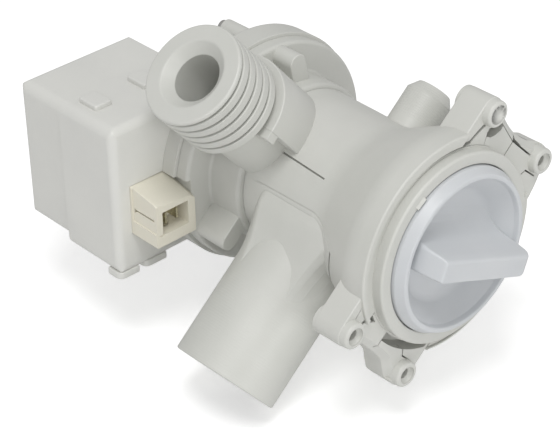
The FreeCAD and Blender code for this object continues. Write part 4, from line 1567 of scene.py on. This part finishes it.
@dataclass
class PlugSocket:
    """The cream socket with a sloping roof and two blades in its mouth."""

    left: float = -59.1
    right: float = -41.0
    bottom: float = -14.4
    front: float = 85.0
    cover: float = 99.0
    rear: float = 107.0
    mouth: tuple[float, float, float, float] = (-56.1, -44.2, -9.9, -0.5)
    deep: float = 9.0
    pit_front: float = 4.4
    slot_deep: float = 2.4
    step_deep: float = 0.35
    blade_places: tuple[float, float] = (-52.55, -47.55)
    blade_thick: float = 0.8
    blade_tall: float = 4.3
    blade_front: float = 2.5

    def shape(self) -> bpy.types.Object:
        """The body: a block whose roof falls to the front and to its right corner.

        Returns:
            The block.
        """
        loops = []
        for y, left_top, right_top, ease in (
                (self.front, 2.9, 1.1, 1.2), (self.front + 1.6, 3.6, 1.9, 1.2),
                (self.cover - 0.6, 5.35, 5.0, 0.6), (self.rear, 5.4, 5.4, 0.2)):
            corners = [(self.left, self.bottom), (self.right, self.bottom),
                       (self.right, right_top - 1.6), (self.right - 2.0, right_top),
                       (self.left, left_top)]
            outline = rounded(corners, [0.5, 0.5, 0.6, 1.2, ease], 4)
            loops.append([MAIN.at(x, z, y) for x, z in outline])
        return loft("body", loops)

    def tools(self) -> list[bpy.types.Object]:
        """The mouth, the pit in its floor, the side slot and the step below it.

        Returns:
            The shapes to cut out of the block.
        """
        left, right, floor, roof = self.mouth
        mouth = rounded([(left, floor), (right, floor), (right, roof), (left, roof)], 0.35, 3)
        pit = [(left, floor - 2.2), (left + 6.3, floor - 2.2), (left + 6.3, floor + 1),
               (left, floor + 1)]
        slot = [(86.4, -4.0), (96.2, -3.9), (97.4, -5.0), (97.4, -2.6), (96.2, -3.2), (86.4, -3.2)]
        edge = [(80.0, 8.0), (self.cover - 1.0, 8.0), (self.cover - 1.0, -8.4), (80.0, -8.9)]
        notch = [(left - 1.4, floor - 0.3), (left + 0.4, floor - 0.3), (left + 0.4, floor + 0.5),
                 (left - 1.4, floor + 0.5)]
        return [prism("mouth", MAIN, mouth, self.front - 1, self.front + self.deep),
                prism("pit", MAIN, pit, self.front + self.pit_front, self.front + self.deep),
                prism("slot", SIDEWAYS, slot, self.left - 1, self.left + self.slot_deep),
                prism("edge", SIDEWAYS, edge, self.left - 1, self.left + self.step_deep),
                prism("notch", MAIN, notch, self.front - 1, self.front + 0.5)]

    def build(self) -> None:
        """Builds and places the socket and its blades."""
        body = eased(combine(self.shape(), self.tools(), Cut.AWAY), 0.25, 2, 50)
        body.name = "plug_socket_body"
        smoothed(body)
        place_on(body, "pump_body", Finish.SOCKET, ["plug_socket"])
        blades = []
        middle = (self.mouth[2] + self.mouth[3]) / 2
        low, high = middle - self.blade_tall / 2, middle + self.blade_tall / 2
        for x in self.blade_places:
            left, right = x - self.blade_thick / 2, x + self.blade_thick / 2
            outline = rounded([(left, low), (right, low), (right, high), (left, high)], 0.1, 2)
            blade = prism("blade", MAIN, outline, self.front + self.blade_front, self.rear + 1.0)
            blades.append(eased(blade, 0.2, 2))
        whole = gathered("socket_blades_body", blades)
        smoothed(whole)
        place_on(whole, "pump_body", Finish.BLADE, ["socket_blades"])


# ---------------------------------------------------------------- inner pieces

@dataclass
class InnerPieces:
    """The nodes that keep their own shape and get a real finish."""

    finishes: dict[str, Finish] = field(default_factory=lambda: {
        "chamber_seal": Finish.SEAL, "cap_seal": Finish.SEAL, "motor_screws": Finish.SCREW,
        "rotor_can": Finish.INNER, "bearing_plate": Finish.INNER, "front_bush": Finish.CERAMIC,
        "rear_bush": Finish.CERAMIC, "rotor_shaft": Finish.SHAFT, "magnet_carrier": Finish.INNER,
        "rotor_magnet": Finish.MAGNET, "front_thrust_washer": Finish.CERAMIC,
        "rear_thrust_washer": Finish.CERAMIC, "retaining_clip": Finish.SHAFT,
        "drive_dog": Finish.INNER, "impeller": Finish.IMPELLER, "lint_filter": Finish.FILTER,
        "lamination_stack": Finish.CORE, "upper_bobbin": Finish.INNER,
        "lower_bobbin": Finish.INNER, "upper_winding": Finish.COIL, "lower_winding": Finish.COIL})

    def build(self, nodes: dict[str, bpy.types.Object]) -> None:
        """Finishes the nodes.

        Args:
            nodes: the frame's nodes by name.
        """
        for name, finish in self.finishes.items():
            node = nodes[name]
            for slot in node.material_slots:
                slot.material = finish.material()
            if not node.material_slots:
                node.data.materials.append(finish.material())
            LOG.info("%s: finished", name)


# ---------------------------------------------------------------- surroundings

@dataclass(frozen=True)
class Lamp:
    """One soft round lamp: its place and width in metres and its power in watts."""

    name: str
    place: tuple[float, float, float]
    power: float
    size: float


@dataclass
class Studio:
    """Floor, lamps, surroundings and camera."""

    lamps: Sequence[Lamp] = (
        Lamp("front", (-0.05, -1.30, 0.12), 2.9, 0.5),
        Lamp("top", (-0.40, -0.30, 1.15), 6.6, 0.5),
        Lamp("near", (-0.66, -0.62, 0.62), 1.2, 0.3))
    aim: tuple[float, float, float] = (0.0, 0.06, 0.0)
    world_light: float = 0.48
    floor_light: float = 0.42
    floor_half: float = 3000.0
    floor_z: float = -66.9
    eye: tuple[float, float, float] = (-432.4, -389.4, 389.9)
    back: tuple[float, float, float] = (-0.565, -0.620, 0.544)
    right: tuple[float, float, float] = (0.731, -0.682, -0.018)
    up: tuple[float, float, float] = (0.382, 0.388, 0.839)
    focal: float = 2049.0
    picture_width: float = 560.0
    sensor: float = 36.0

    def floor(self) -> None:
        """The plain pale floor, which the camera sees as white apart from the shadow."""
        low, half = self.floor_z - 4, self.floor_half
        outline = [(-half, low), (half, low), (half, self.floor_z), (-half, self.floor_z)]
        plane = prism("floor", MAIN, outline, -half, half)
        paint = Paint("floor_finish")
        tone = paint.noise(paint.place(), 6.0)
        seen = paint.node("ShaderNodeLightPath", {}, {}, "Is Camera Ray")
        paint.set(Base_Color=paint.blend(tone, linear(243, 243, 243), linear(246, 246, 246)),
                  Roughness=0.9,
                  Emission_Color=paint.blend(seen, (0.0, 0.0, 0.0, 1.0), (1.0, 1.0, 1.0, 1.0)),
                  Emission_Strength=self.floor_light)
        plane.data.materials.append(paint.material)

    def hang(self, lamp: Lamp) -> None:
        """Hangs one lamp and aims it at the pump.

        Args:
            lamp: the lamp.
        """
        data = bpy.data.lights.new(lamp.name, "AREA")
        data.energy = lamp.power
        data.shape = "DISK"
        data.size = lamp.size
        hung = bpy.data.objects.new(lamp.name, data)
        hung.location = lamp.place
        way = Vector(self.aim) - hung.location
        hung.rotation_mode = "QUATERNION"
        hung.rotation_quaternion = way.to_track_quat("-Z", "Y")
        bpy.context.scene.collection.objects.link(hung)

    def surroundings(self) -> None:
        """An even pale world: white to the camera and through clear parts, softer as a light."""
        world = bpy.data.worlds.new("surroundings")
        bpy.context.scene.world = world
        nodes = Nodes(world)
        camera = nodes.node("ShaderNodeLightPath", {}, {}, "Is Camera Ray")
        through = nodes.node("ShaderNodeLightPath", {}, {}, "Is Transmission Ray")
        seen = camera.larger(through)
        white = (1.0, 1.0, 1.0, 1.0)
        soft, plain = (
            nodes.node("ShaderNodeBackground", {}, {"Color": white, "Strength": light})
            for light in (self.world_light, 1.0))
        mixed = nodes.node("ShaderNodeMixShader", {}, {0: seen, 1: soft, 2: plain})
        nodes.node("ShaderNodeOutputWorld", {}, {"Surface": mixed})

    def camera(self) -> None:
        """The camera at the photograph's viewing angle."""
        data = bpy.data.cameras.new("camera")
        data.sensor_fit = "HORIZONTAL"
        data.sensor_width = self.sensor
        data.lens = self.focal * self.sensor / self.picture_width
        data.clip_start = 0.05
        data.clip_end = 20.0
        camera = bpy.data.objects.new("camera", data)
        turn = Matrix((self.right, self.up, self.back)).transposed()
        camera.rotation_mode = "QUATERNION"
        camera.rotation_quaternion = turn.to_quaternion()
        camera.location = Vector(self.eye) * MM
        bpy.context.scene.collection.objects.link(camera)
        bpy.context.scene.camera = camera

    def build(self) -> None:
        """Builds everything round the pump."""
        self.floor()
        for lamp in self.lamps:
            self.hang(lamp)
        self.surroundings()
        self.camera()
        bpy.context.scene.view_settings.view_transform = "Standard"


def main() -> None:
    """Builds the pump's pieces round the frame, in order."""
    logging.basicConfig(level=logging.INFO, format="%(message)s")
    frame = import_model()
    for part in (Housing(), HoseStub(), SideNozzle(), Spout(), Chamber(), Bracket(), FilterCap(),
                 CoilCover(), PlugSocket()):
        part.build()
        LOG.info("%s done", type(part).__name__)
    InnerPieces().build(frame["nodes"])
    Studio().build()


if __name__ == "__main__":
    main()
